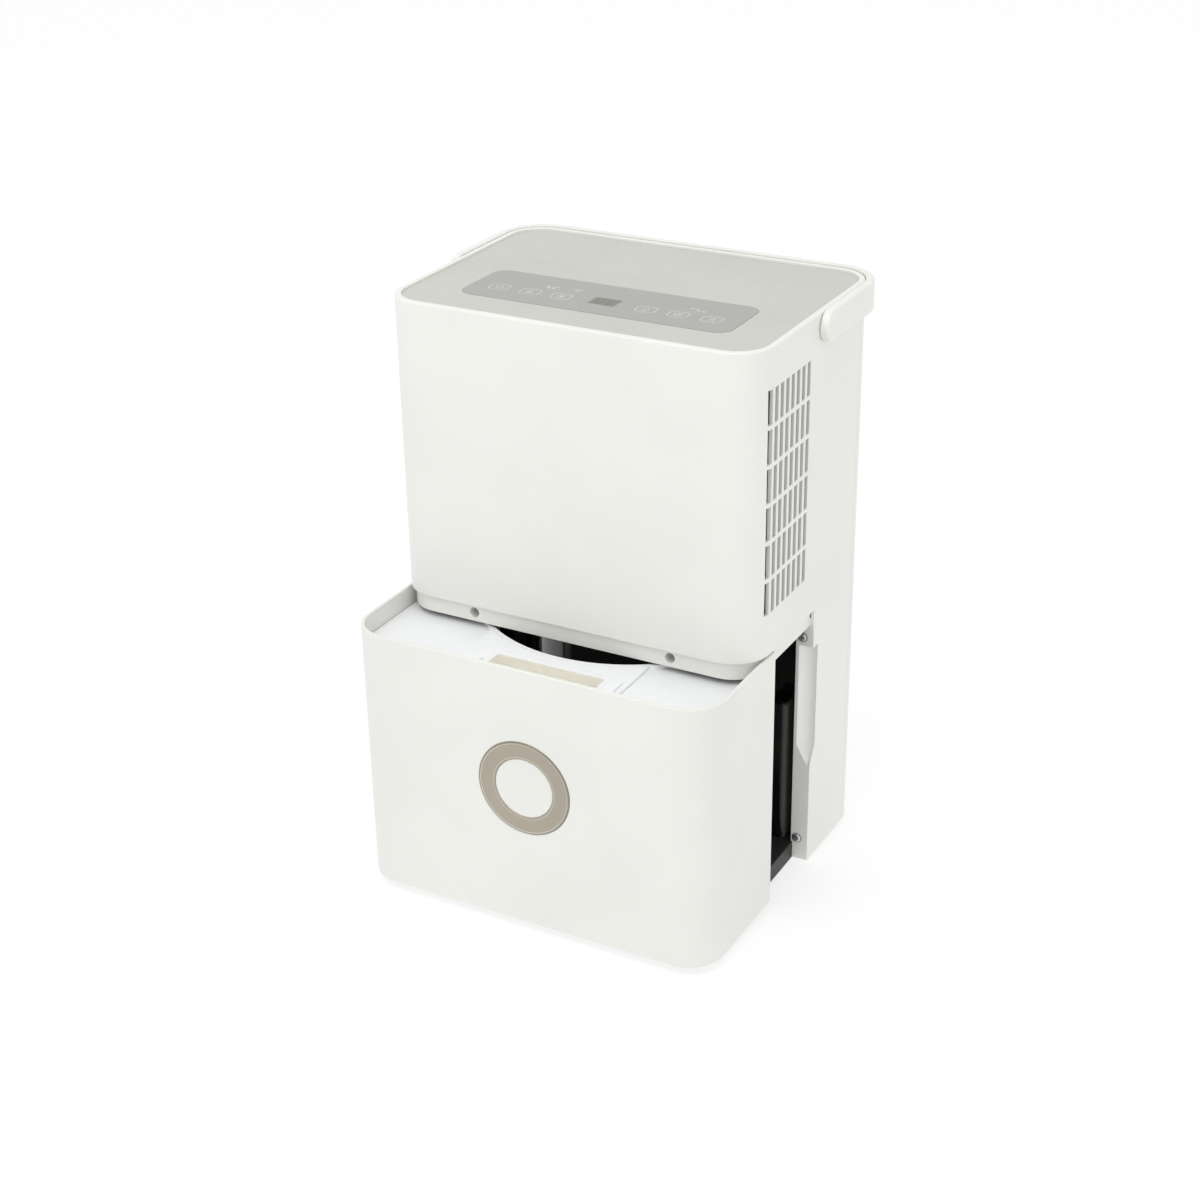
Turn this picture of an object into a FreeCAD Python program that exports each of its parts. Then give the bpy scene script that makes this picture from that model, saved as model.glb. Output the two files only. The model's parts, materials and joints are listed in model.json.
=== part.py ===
import FreeCAD, Part
import math
import os

# A compressor dehumidifier for a room: white casing, grey top panel with touch keys, folding carry
# handle, and a water tank that draws out of the front. Millimetres, +Z up, front at -Y.
# The origin is on the floor, under the middle of the casing.

Vec = FreeCAD.Vector
X_DIR = Vec(1, 0, 0)
Y_DIR = Vec(0, 1, 0)
Z_DIR = Vec(0, 0, 1)

# ---- driving dimensions ------------------------------------------------------------------------
WIDTH = 288.0             # casing, across
DEPTH = 202.0             # casing, front to back
HEIGHT = 440.0            # floor to the top of the rim
CORNER_R = 28.0           # upright corners of the casing, in plan
WALL = 2.8                # casing wall
FLOOR_GAP = 3.0           # underside of the casing above the floor
SEAM = 0.3                # open line between two casing mouldings
EPS = 1.0                 # how far a cutting tool runs past the face it cuts

HALF_W = WIDTH / 2
HALF_D = DEPTH / 2
REAR_SPLIT_Y = 73.0       # the main and the rear mouldings meet here

# rim, top panel and controls
RIM_W = 4.5               # rim round the top panel
LEDGE_W = 3.5             # ledge under the panel's edge
PANEL_T = 2.4
PANEL_TOP = HEIGHT - 1.5
PANEL_GAP = 0.2
STRIP_HALF = 104.0        # control strip, half its width
STRIP_Y = (-64.0, -4.5)
STRIP_R = 11.0
STRIP_T = 0.4
STRIP_SINK = 0.3          # how deep the strip lies in the panel
DISPLAY_HALF = 10.0
DISPLAY_Y = (-45.5, -31.5)
KEY_X = (-82.5, -57.5, -33.0, 33.0, 57.5, 82.5)
KEY_Y = -41.0
BOARD_Z = 424.0           # underside of the control board
BOARD_T = 1.6

# lip, under which the tank's cover closes
LIP_BOTTOM = 202.5
LIP_TOP = 216.0
LIP_INSET = 3.2
LIP_HOLE_X = 79.5
LIP_HOLE_Z = 209.5
LIP_HOLE_R = 3.8
SLEEVE_R = 5.0            # tube behind each lip hole

# flange beside the tank, with a finger scoop at its outer corner
FLANGE_Y = 5.0
FLANGE_W = 13.8
FLANGE_DEPTH = 13.0
SCOOP_Z = (92.0, 185.0)
SCOOP_R = 9.5
FLANGE_SCREW_X = 135.0
FLANGE_SCREW_Z = (21.0, 192.0)

# outlet slots in the right side
SLOT_COLUMNS = 8
SLOT_ROWS = 6
SLOT_W = 5.4
SLOT_H = 24.5
SLOT_PITCH_Y = 8.7
SLOT_PITCH_Z = 27.7
SLOT_FIRST_Y = -81.0
SLOT_FIRST_Z = 248.0

# carry handle
HANDLE_T = 6.0
HANDLE_Z = (418.0, 440.5)
HANDLE_SIDE_GAP = 0.4
HANDLE_BACK_GAP = 1.0
PIVOT_Y = 9.0
PIVOT_R = 5.0
PIVOT_CLEARANCE = 0.06

# water tank, given as it stands when closed; it is stored drawn out by TANK_OUT
TANK_OUT = 67.0
COVER_T = 2.6
COVER_Z = (7.0, 213.5)
COVER_REAR_Y = 4.6
TUB_INSET = 6.0
TUB_T = 2.2
TUB_Z = (17.6, 195.0)
TUB_REAR_Y = 0.0
LID_T = 3.0
LID_INSET = 2.8
RING_Z = 120.0
RING_R = 36.8
RING_INNER_R = 23.2
LID_Z = TUB_Z[1]
GRIP_X = 2.7              # finger pocket in the lid
GRIP_HALF = 45.0
GRIP_Y = (-92.3, -61.0)
GRIP_DEPTH = 24.0
LID_BLOCK_HALF = 64.0
INLET_X = 108.0           # where the water comes in
INLET_Y = -13.0
FLOAT_X = -104.0
FLOAT_Y = -36.0
FLOAT_R = 17.5

# bulged black wall between the tank and the machine
BULGE_R = 108.0
BULGE_CENTRE_Y = 63.0
BULGE_T = 2.5
TANK_ARC_R = 111.5        # hollow in the tank's back, clear of the bulge
WALL_WING_Y = 22.0
BLOCK_X = (110.0, 124.0)
BLOCK_FRONT_Y = 4.5
BLOCK_TOP = 134.0

# base pan, deck and feet
BASE_TOP = 17.0
BASE_HALF_W = 132.0
BASE_FRONT_Y = -94.0
BASE_SKIN = 3.0
DECK_Z = (206.0, 209.0)
FOOT_X = 112.0
FOOT_Y = 78.0
FOOT_R = 10.0

# compressor
COMP_X = -12.0
COMP_Y = 20.0
COMP_R = 50.0
COMP_Z = (34.0, 178.0)
COMP_LEG_R = 56.0
ACC_X = 64.0
ACC_Y = 34.0
ACC_R = 17.0
ACC_Z = (62.0, 166.0)
DRIER_X = 92.0
DRIER_Y = 38.0

# fan
FAN_X = -28.0
FAN_Z = 330.0
FAN_R = 60.0
FAN_Y = (-50.0, -14.0)
BLADES = 24
BLADE_T = 1.4
SHAFT_R = 3.0
SCROLL_Y = (-86.0, -8.0)
SCROLL_R = 82.0
SCROLL_T = 2.2
MOTOR_R = 31.0
MOTOR_Y = (-83.5, -56.0)
MOTOR_EAR_R = MOTOR_R + 2
MOTOR_EAR_TURNS = (45, 135, 225, 315)

# cooling and warming coils
COIL_X = (-112.0, 72.0)
COIL_Z = (236.0, 412.0)
COIL_T = 18.0
EVAP_Y = 79.0
COND_Y = 57.0
COIL_PASSES = 7
COIL_TUBE_R = 3.5
TUBE_END = 4.0            # bare tube between the fins and a return bend
SUCTION_X = COIL_X[0] - TUBE_END - 14
DISCHARGE_X = COIL_X[0] - TUBE_END - 8

# rear air intake
INTAKE_HALF = 100.0
INTAKE_Z = (238.0, 404.0)
INTAKE_FRAME = 9.0
INTAKE_COLUMNS = 20
INTAKE_ROWS = 6

# drain and cord inlet, in the back
DRAIN_X = -104.0
DRAIN_Z = 219.0
DRAIN_R = 8.0
DRAIN_BORE_R = 5.0
CORD_X = 100.0
CORD_Z = 38.0
CORD_GLAND_R = 8.0
CORD_BORE_R = 3.7

# fasteners
SCREW_R = 2.0
SCREW_HEAD_R = 3.6
LIP_BOSS_Y = -HALF_D + LIP_INSET + WALL + 10.5
REAR_SCREWS = ((-112, 20), (112, 20), (-124, 200), (124, 200), (-112, 412), (112, 412))


# ---- helpers -----------------------------------------------------------------------------------
def box(x0, x1, y0, y1, z0, z1):
    return Part.makeBox(x1 - x0, y1 - y0, z1 - z0, Vec(x0, y0, z0))


def upright(x, y, radius, z0, z1):
    return Part.makeCylinder(radius, z1 - z0, Vec(x, y, z0), Z_DIR)


def along_y(x, z, radius, y0, y1):
    return Part.makeCylinder(radius, y1 - y0, Vec(x, y0, z), Y_DIR)


def along_x(y, z, radius, x0, x1):
    return Part.makeCylinder(radius, x1 - x0, Vec(x0, y, z), X_DIR)


def edges_along(shape, direction):
    found = []
    for edge in shape.Edges:
        if isinstance(edge.Curve, Part.Line) and abs(edge.Curve.Direction.dot(direction)) > 0.999:
            found.append(edge)
    return found


def slab(x0, x1, y0, y1, z0, z1, radius):
    """Upright block with all four corners rounded in plan."""
    block = box(x0, x1, y0, y1, z0, z1)
    return block.makeFillet(radius, edges_along(block, Z_DIR))


def wall_plate(x0, x1, y0, y1, z0, z1, radius):
    """Block rounded at the corners seen along Y."""
    block = box(x0, x1, y0, y1, z0, z1)
    return block.makeFillet(radius, edges_along(block, Y_DIR))


def footprint(inset, z0, z1):
    """The casing's own plan, drawn in by inset, as an upright block."""
    return slab(-HALF_W + inset, HALF_W - inset, -HALF_D + inset, HALF_D - inset, z0, z1,
                CORNER_R - inset)


def fuse(shapes):
    first = shapes[0]
    return first.multiFuse(shapes[1:]).removeSplitter() if len(shapes) > 1 else first


def cut(shape, tools):
    return shape.cut(Part.makeCompound(tools)) if tools else shape


def mirrored(shape):
    return shape.mirror(Vec(0, 0, 0), X_DIR)


def both_sides(shape):
    return [shape, mirrored(shape)]


def moved(shape, vector):
    copy = shape.copy()
    copy.translate(vector)
    return copy


def pan_head_screw(length):
    """Screw along -Z from the origin, its head above, with a cross recess."""
    shank = Part.makeCylinder(SCREW_R, length, Vec(0, 0, -length), Z_DIR)
    head = Part.makeCylinder(SCREW_HEAD_R, 2.2, Vec(0, 0, 0), Z_DIR)
    head = head.makeFillet(0.9, [head.Edges[0]])
    cross = [box(-2.2, 2.2, -0.5, 0.5, 1.0, 3.0), box(-0.5, 0.5, -2.2, 2.2, 1.0, 3.0)]
    return cut(fuse([shank, head]), cross)


def aimed(shape, direction, place):
    """Turn a shape built along +Z to face a direction, and put it in its place."""
    turned = shape.copy()
    turned.Placement = FreeCAD.Placement(place, FreeCAD.Rotation(Z_DIR, direction))
    return turned


def pipe(points, radius, bend):
    """Round rod along straight runs joined by tangent arcs of one bend radius."""
    edges = []
    start = points[0]
    for before, corner, after in zip(points, points[1:], points[2:]):
        back = (before - corner).normalize()
        onward = (after - corner).normalize()
        half_turn = back.getAngle(onward) / 2
        reach = bend / math.tan(half_turn)
        arc_start = corner + back * reach
        arc_end = corner + onward * reach
        middle = (back + onward).normalize()
        arc_mid = corner + middle * (bend / math.sin(half_turn) - bend)
        edges.append(Part.LineSegment(start, arc_start).toShape())
        edges.append(Part.Arc(arc_start, arc_mid, arc_end).toShape())
        start = arc_end
    edges.append(Part.LineSegment(start, points[-1]).toShape())
    section = Part.Wire(Part.Circle(points[0], points[1] - points[0], radius).toShape())
    return Part.Wire(edges).makePipeShell([section], True, False)


def save(name, shape):
    solids = shape.Solids
    body = solids[0] if len(solids) == 1 else Part.makeCompound(solids)
    body.exportStep("parts/" + name + ".step")
    print(name, len(solids), "solids", round(body.Volume / 1000, 1), "cm3", body.isValid())


# ---- casing ------------------------------------------------------------------------------------
def casing_shell():
    """Whole casing as one shell, before it is split: walls, rim and the panel's ledge."""
    outer = footprint(0, FLOOR_GAP, HEIGHT)
    rim_edges = [edge for edge in outer.Edges if edge.BoundBox.ZMin > HEIGHT - 0.01]
    outer = outer.makeFillet(1.4, rim_edges)
    ledge_z = PANEL_TOP - PANEL_T
    hollow = footprint(WALL, FLOOR_GAP - EPS, ledge_z - 4)
    ledge_opening = footprint(RIM_W + LEDGE_W, ledge_z - 5, ledge_z + EPS)
    pocket = footprint(RIM_W, ledge_z, HEIGHT + EPS)
    return cut(outer, [hollow, ledge_opening, pocket])


def lip_band():
    """Set-in band round the foot of the upper front, with two screw holes."""
    band = footprint(LIP_INSET, LIP_BOTTOM, LIP_TOP + 3)
    band = cut(band, [footprint(LIP_INSET + WALL, LIP_BOTTOM - EPS, LIP_TOP + 3 + EPS)])
    band = band.common(box(-HALF_W, HALF_W, -HALF_D, FLANGE_Y, LIP_BOTTOM, LIP_TOP + 3))
    holes = []
    sleeves = []
    for x in (-LIP_HOLE_X, LIP_HOLE_X):
        sleeves.append(along_y(x, LIP_HOLE_Z, SLEEVE_R, -HALF_D + LIP_INSET + 1, LIP_BOSS_Y - 0.3))
        holes.append(along_y(x, LIP_HOLE_Z, LIP_HOLE_R, -HALF_D, LIP_BOSS_Y))
    return fuse([band] + sleeves), holes


def flange_post():
    """Right-hand upright beside the tank: its front face is the flange."""
    post = box(HALF_W - FLANGE_W, HALF_W - 0.5, FLANGE_Y, FLANGE_Y + FLANGE_DEPTH, FLOOR_GAP,
               LIP_BOTTOM + 6)
    hollow = box(HALF_W - FLANGE_W + WALL, HALF_W - 10.3, FLANGE_Y + WALL,
                 FLANGE_Y + FLANGE_DEPTH + EPS, FLOOR_GAP - EPS, LIP_BOTTOM)
    return cut(post, [hollow])


def scoop():
    """Finger hollow across the flange's outer corner, ending in a point at its foot."""
    low, high = SCOOP_Z
    middle = Vec(HALF_W - 1.5, FLANGE_Y - 1.0, low + SCOOP_R)
    barrel = Part.makeCylinder(SCOOP_R, high - low - SCOOP_R, middle, Z_DIR)
    foot = Part.makeCone(0.6, SCOOP_R, 16, middle - Vec(0, 0, 16), Z_DIR)
    return fuse([barrel, foot])


def outlet_slots():
    slots = []
    for column in range(SLOT_COLUMNS):
        for row in range(SLOT_ROWS):
            y = SLOT_FIRST_Y + column * SLOT_PITCH_Y
            z = SLOT_FIRST_Z + row * SLOT_PITCH_Z
            slots.append(box(HALF_W - 8, HALF_W + EPS, y, y + SLOT_W, z, z + SLOT_H))
    return slots


def main_housing():
    shell = casing_shell()
    shell = shell.common(box(-HALF_W, HALF_W, -HALF_D, REAR_SPLIT_Y - SEAM / 2, 0, HEIGHT))
    tank_bay = box(-HALF_W - EPS, HALF_W + EPS, -HALF_D - EPS, FLANGE_Y, 0, LIP_BOTTOM)
    step = cut(footprint(-EPS, LIP_BOTTOM - EPS, LIP_TOP),
               [footprint(LIP_INSET, LIP_BOTTOM - 2 * EPS, LIP_TOP + EPS)])
    step = step.common(box(-HALF_W - 2, HALF_W + 2, -HALF_D - 2, FLANGE_Y, 0, LIP_TOP))
    band, holes = lip_band()
    body = fuse([cut(shell, [tank_bay, step]), band] + both_sides(flange_post()))
    holes += both_sides(scoop()) + outlet_slots()
    for x in (-FLANGE_SCREW_X, FLANGE_SCREW_X):
        for z in FLANGE_SCREW_Z:
            holes.append(along_y(x, z, SCREW_HEAD_R + 0.4, FLANGE_Y - EPS, FLANGE_Y + 0.9))
            holes.append(along_y(x, z, SCREW_R + 0.1, FLANGE_Y, FLANGE_Y + 20))
    holes += both_sides(along_x(PIVOT_Y, sum(HANDLE_Z) / 2, PIVOT_R,
                                HALF_W - WALL - 0.1, HALF_W + EPS))
    return cut(body, holes)


def rear_housing():
    shell = casing_shell()
    shell = shell.common(box(-HALF_W, HALF_W, REAR_SPLIT_Y + SEAM / 2, HALF_D, 0, HEIGHT))
    inner = INTAKE_HALF - INTAKE_FRAME + 3
    low, high = INTAKE_Z
    recess = wall_plate(-INTAKE_HALF - 0.5, INTAKE_HALF + 0.5, HALF_D - 1.6, HALF_D + EPS,
                        low - 0.5, high + 0.5, 10)
    window = wall_plate(-inner, inner, HALF_D - 10, HALF_D + EPS,
                        low + INTAKE_FRAME - 3, high - INTAKE_FRAME + 3, 6)
    holes = [recess, window]
    holes.append(along_y(DRAIN_X, DRAIN_Z, DRAIN_R + 0.1, HALF_D - 10, HALF_D + EPS))
    holes.append(along_y(CORD_X, CORD_Z, CORD_GLAND_R + 0.1, HALF_D - 10, HALF_D + EPS))
    for x, z in REAR_SCREWS:
        holes.append(along_y(x, z, SCREW_R + 0.1, HALF_D - 10, HALF_D + EPS))
        holes.append(along_y(x, z, SCREW_HEAD_R + 0.4, HALF_D - 0.9, HALF_D + EPS))
    return cut(shell, holes)


# ---- top panel and controls --------------------------------------------------------------------
def strip_plate(inset, z0, z1):
    front, back = STRIP_Y
    return slab(-STRIP_HALF + inset, STRIP_HALF - inset, front + inset, back - inset, z0, z1,
                STRIP_R - inset)


def display_plate(inset, z0, z1):
    front, back = DISPLAY_Y
    return slab(-DISPLAY_HALF + inset, DISPLAY_HALF - inset, front + inset, back - inset, z0, z1, 1.2)


def top_panel():
    plate = footprint(RIM_W + PANEL_GAP, PANEL_TOP - PANEL_T, PANEL_TOP)
    window = display_plate(0.5, PANEL_TOP - PANEL_T - EPS, PANEL_TOP + EPS)
    plate = cut(plate, [strip_plate(-0.1, PANEL_TOP - STRIP_SINK, PANEL_TOP + EPS), window])
    ribs = []
    for x in (-70.0, 0.0, 70.0):
        ribs.append(box(x - 1, x + 1, 12, 80, PANEL_TOP - PANEL_T - 5, PANEL_TOP - PANEL_T))
    return fuse([plate] + ribs)


def control_strip():
    low = PANEL_TOP - STRIP_SINK
    film = strip_plate(0, low, low + STRIP_T)
    return cut(film, [display_plate(-0.1, low - EPS, low + 2)])


def display_window():
    low = PANEL_TOP - STRIP_SINK
    return display_plate(0, low, low + STRIP_T + 0.05)


def control_board():
    board = box(-98, 98, -62, -8, BOARD_Z, BOARD_Z + BOARD_T)
    chips = []
    for x in (-70, -20, 40, 76):
        chips.append(box(x - 6, x + 6, -24, -14, BOARD_Z + BOARD_T, BOARD_Z + BOARD_T + 2))
    return fuse([board] + chips)


def display_module():
    front, back = DISPLAY_Y
    case = box(-DISPLAY_HALF + 1, DISPLAY_HALF - 1, front + 1, back - 1, BOARD_Z + BOARD_T,
               PANEL_TOP - STRIP_SINK - 0.4)
    return case


def touch_springs():
    """Contact springs from the board to the underside of each touch key, as open sleeves."""
    low = BOARD_Z + BOARD_T
    high = PANEL_TOP - PANEL_T
    springs = []
    for x in KEY_X:
        sleeve = upright(x, KEY_Y, 5, low, high)
        springs.append(cut(sleeve, [upright(x, KEY_Y, 4, low - EPS, high + EPS)]))
    return Part.makeCompound(springs)


# ---- carry handle ------------------------------------------------------------------------------
def on_outside(bounds, outer_x, outer_y):
    """Whether an edge of the handle lies on its outer sides, its back or its two rear corners."""
    on_side = bounds.XMin > outer_x - 0.01 or bounds.XMax < -outer_x + 0.01
    on_back = bounds.YMin > outer_y - 0.01
    level = bounds.ZLength < 0.01 and bounds.XLength > 5 and bounds.YLength > 5
    on_corner = level and bounds.YMax > outer_y - 0.01
    return on_side or on_back or on_corner


def carry_handle():
    low, high = HANDLE_Z
    inner_x = HALF_W + HANDLE_SIDE_GAP
    inner_y = HALF_D + HANDLE_BACK_GAP
    outer_x = inner_x + HANDLE_T
    outer_y = inner_y + HANDLE_T
    start_r = CORNER_R + HANDLE_BACK_GAP
    outside = slab(-outer_x, outer_x, -outer_y, outer_y, low, high, start_r + HANDLE_T)
    inside = slab(-inner_x, inner_x, -inner_y, inner_y, low - EPS, high + EPS, start_r)
    bow = cut(outside, [inside]).common(box(-outer_x, outer_x, PIVOT_Y, outer_y, low, high))
    centre_z = (low + high) / 2
    nose = along_x(PIVOT_Y, centre_z, (high - low) / 2, inner_x, outer_x)
    body = fuse([bow] + both_sides(nose))
    soft = [edge for edge in body.Edges if on_outside(edge.BoundBox, outer_x, outer_y)]
    body = body.makeFillet(1.8, soft)
    bore = along_x(PIVOT_Y, centre_z, PIVOT_R + PIVOT_CLEARANCE, inner_x - EPS, inner_x + 4)
    return cut(body, both_sides(bore))


def handle_pivots():
    centre_z = sum(HANDLE_Z) / 2
    pin = along_x(PIVOT_Y, centre_z, PIVOT_R, HALF_W - WALL, HALF_W + HANDLE_SIDE_GAP + 3.8)
    return Part.makeCompound(both_sides(pin))


# ---- water tank --------------------------------------------------------------------------------
def tank_hollow(radius, z0, z1):
    return upright(0, BULGE_CENTRE_Y, radius, z0, z1)


def drawn_out(shape):
    return moved(shape, Vec(0, -TANK_OUT, 0))


def tank_cover():
    low, high = COVER_Z
    outer = footprint(0, low, high)
    top_edges = [edge for edge in outer.Edges if edge.BoundBox.ZMin > high - 0.01]
    bottom_edges = [edge for edge in outer.Edges if edge.BoundBox.ZMax < low + 0.01]
    outer = outer.makeFillet(1.0, top_edges + bottom_edges)
    wall = cut(outer, [footprint(COVER_T, low - EPS, high + EPS)])
    wall = wall.common(box(-HALF_W, HALF_W, -HALF_D, COVER_REAR_Y, low, high))
    ribs = []
    front = -HALF_D + COVER_T
    for x in (-90.0, -60.0, 60.0, 90.0):
        ribs.append(box(x - 1, x + 1, front - 0.5, -HALF_D + TUB_INSET, 30, 180))
    seat = along_y(0, RING_Z, RING_R + 0.1, -HALF_D - EPS, -HALF_D + 1.2)
    seat = cut(seat, [along_y(0, RING_Z, RING_INNER_R - 0.1, -HALF_D - 2, -HALF_D + 2)])
    return drawn_out(cut(fuse([wall] + ribs), [seat]))


def level_ring():
    ring = along_y(0, RING_Z, RING_R, -HALF_D - 0.6, -HALF_D + 1.2)
    ring = cut(ring, [along_y(0, RING_Z, RING_INNER_R, -HALF_D - 2, -HALF_D + 2)])
    rims = [edge for edge in ring.Edges if edge.BoundBox.YMax < -HALF_D - 0.5]
    return drawn_out(ring.makeFillet(0.5, rims))


def tub_block(inset, z0, z1):
    block = footprint(TUB_INSET + inset, z0, z1)
    block = block.common(box(-HALF_W, HALF_W, -HALF_D, TUB_REAR_Y - inset, z0, z1))
    return cut(block, [tank_hollow(TANK_ARC_R + inset, z0 - EPS, z1 + EPS)])


def tank_tub():
    low, high = TUB_Z
    tub = cut(tub_block(0, low, high), [tub_block(TUB_T, low + TUB_T, high + EPS)])
    return drawn_out(tub)


def tank_lid():
    """White plate over the tub, with a raised bead round the hollow and the float's cage."""
    low = LID_Z
    high = LID_Z + LID_T
    plate = footprint(LID_INSET + 0.2, low, high)
    plate = plate.common(box(-HALF_W, HALF_W, -HALF_D, TUB_REAR_Y, low, high))
    bead = cut(tank_hollow(TANK_ARC_R + 3, high, high + 2.2),
               [tank_hollow(TANK_ARC_R, high - EPS, high + 3)])
    bead = bead.common(box(-HALF_W, HALF_W, -HALF_D, TUB_REAR_Y, high, high + 2.2))
    cage = cut(upright(FLOAT_X, FLOAT_Y, FLOAT_R + 3.5, 118, low),
               [upright(FLOAT_X, FLOAT_Y, FLOAT_R + 1.1, 117, low - 2)])
    windows = []
    for turn in (0, 90):
        window = box(FLOAT_X - 30, FLOAT_X + 30, FLOAT_Y - 9, FLOAT_Y + 9, 122, 180)
        window.rotate(Vec(FLOAT_X, FLOAT_Y, 0), Z_DIR, turn)
        windows.append(window)
    shelf = upright(FLOAT_X, FLOAT_Y, FLOAT_R + 3.5, 116, 118)
    shelf = cut(shelf, [upright(FLOAT_X, FLOAT_Y, 10, 115, 119)])
    body = fuse([plate, bead, cut(cage, windows), shelf])
    holes = [tank_hollow(TANK_ARC_R, low - EPS, high + 5)]
    holes.append(upright(INLET_X, INLET_Y, 9, low - EPS, high + EPS))
    holes.append(slab(GRIP_X - GRIP_HALF - 0.3, GRIP_X + GRIP_HALF + 0.3, GRIP_Y[0] - 0.3,
                      GRIP_Y[1] + 0.3, low - EPS, high + EPS, 3))
    return drawn_out(cut(body, holes))


def tank_grip():
    """Raised middle of the lid: a block with a long finger pocket let down through the plate."""
    low = LID_Z + LID_T
    high = low + 2.0
    block = box(-LID_BLOCK_HALF, LID_BLOCK_HALF, -HALF_D + LID_INSET + 0.4, -30, low, high)
    block = cut(block, [tank_hollow(TANK_ARC_R + 3.2, low - EPS, high + EPS)])
    left = GRIP_X - GRIP_HALF
    right = GRIP_X + GRIP_HALF
    pocket = slab(left, right, GRIP_Y[0], GRIP_Y[1], low - GRIP_DEPTH, high, 3)
    hollow = slab(left + 2, right - 2, GRIP_Y[0] + 2, GRIP_Y[1] - 2, low - GRIP_DEPTH + 2,
                  high + EPS, 2)
    tab = box(52, 60, -80, -64, high, high + 1.6)
    body = cut(fuse([block, pocket, tab]), [hollow, upright(left - 4.5, -75, 1.5, low + 0.5, high + EPS)])
    return drawn_out(body)


def float_body():
    shell = upright(FLOAT_X, FLOAT_Y, FLOAT_R, 118.3, 146)
    pocket = upright(FLOAT_X, FLOAT_Y, 6.1, 140, 147)
    shell = shell.makeFillet(2.5, [edge for edge in shell.Edges if edge.BoundBox.ZLength < 0.01])
    return drawn_out(cut(shell, [pocket]))


def float_magnet():
    return drawn_out(upright(FLOAT_X, FLOAT_Y, 6, 140, 145))


# ---- base, deck and the wall behind the tank ---------------------------------------------------
def base_tray():
    rear = HALF_D - WALL - 0.5
    body = slab(-BASE_HALF_W, BASE_HALF_W, BASE_FRONT_Y, rear, FLOOR_GAP, BASE_TOP, 18)
    bays = []
    for x0, x1 in ((-126, -46), (-42, -26), (26, 42), (46, 126)):
        for y0, y1 in ((-88, -4), (4, rear - 6)):
            bays.append(box(x0, x1, y0, y1, FLOOR_GAP - EPS, BASE_TOP - BASE_SKIN))
    pads = []
    for x in (-FOOT_X, FOOT_X):
        for y in (-FOOT_Y, FOOT_Y):
            pads.append(upright(x, y, FOOT_R + 2, FLOOR_GAP, BASE_TOP - 1))
    boss = slab(-24, 24, -24, 24, 0, FLOOR_GAP + 1, 8)
    studs = []
    for x, y in compressor_legs():
        studs.append(upright(x, y, 4, BASE_TOP - 1, BASE_TOP + 3))
    post = box(HALF_W - FLANGE_W - SEAM, HALF_W, FLANGE_Y - SEAM, FLANGE_Y + FLANGE_DEPTH + SEAM,
               FLOOR_GAP - EPS, BASE_TOP + EPS)
    return cut(fuse([cut(body, bays)] + pads + [boss] + studs), both_sides(post))


def foot_pads():
    pads = []
    for x in (-FOOT_X, FOOT_X):
        for y in (-FOOT_Y, FOOT_Y):
            pads.append(upright(x, y, FOOT_R, 0, FLOOR_GAP))
    return Part.makeCompound(pads)


def chassis_wall():
    """Gloss black wall with a round bulge over the compressor and a guide block each side."""
    top = DECK_Z[0]
    wing_end = HALF_W - WALL - 0.4
    wing = box(96, wing_end, WALL_WING_Y, WALL_WING_Y + BULGE_T, BASE_TOP, top)
    shell = cut(tank_hollow(BULGE_R, BASE_TOP, top),
                [tank_hollow(BULGE_R - BULGE_T, BASE_TOP - EPS, top + EPS)])
    shell = shell.common(box(-HALF_W, HALF_W, -HALF_D, WALL_WING_Y + BULGE_T, BASE_TOP, top))
    inner, outer = BLOCK_X
    block = box(inner, outer, BLOCK_FRONT_Y, WALL_WING_Y + BULGE_T, BASE_TOP, BLOCK_TOP)
    soft = []
    for edge in block.Edges:
        bounds = edge.BoundBox
        at_front = bounds.YMax < BLOCK_FRONT_Y + 0.01
        if at_front and bounds.ZMin > BLOCK_TOP - 0.01 or at_front and bounds.ZLength > 50:
            soft.append(edge)
        if bounds.ZMin > BLOCK_TOP - 0.01 and bounds.XMin > outer - 0.01:
            soft.append(edge)
    block = block.makeFillet(4.5, soft)
    post_clear = box(HALF_W - FLANGE_W - SEAM, HALF_W, 0, FLANGE_Y + FLANGE_DEPTH + SEAM,
                     BASE_TOP - EPS, top + EPS)
    right = cut(fuse([wing, block]), [post_clear])
    return fuse([shell] + both_sides(right))


def mid_deck():
    """Black shelf over the tank bay, which carries the fan, the coils and the drip tray."""
    low, high = DECK_Z
    plate = footprint(LIP_INSET + WALL + 0.4, low, high)
    plate = cut(plate, both_sides(box(HALF_W - FLANGE_W - 0.4, HALF_W, FLANGE_Y - 0.4,
                                      FLANGE_Y + FLANGE_DEPTH + 0.4, low - EPS, high + EPS)))
    holes = [upright(INLET_X, INLET_Y, 8, low - EPS, high + EPS)]
    holes.append(upright(SUCTION_X, EVAP_Y, 6, low - EPS, high + EPS))
    holes.append(upright(DISCHARGE_X, COND_Y, 5, low - EPS, high + EPS))
    return cut(plate, holes)


# ---- refrigeration -----------------------------------------------------------------------------
def compressor_legs():
    legs = []
    for turn in (90, 210, 330):
        angle = math.radians(turn)
        legs.append((COMP_X + COMP_LEG_R * math.cos(angle), COMP_Y + COMP_LEG_R * math.sin(angle)))
    return legs


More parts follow.
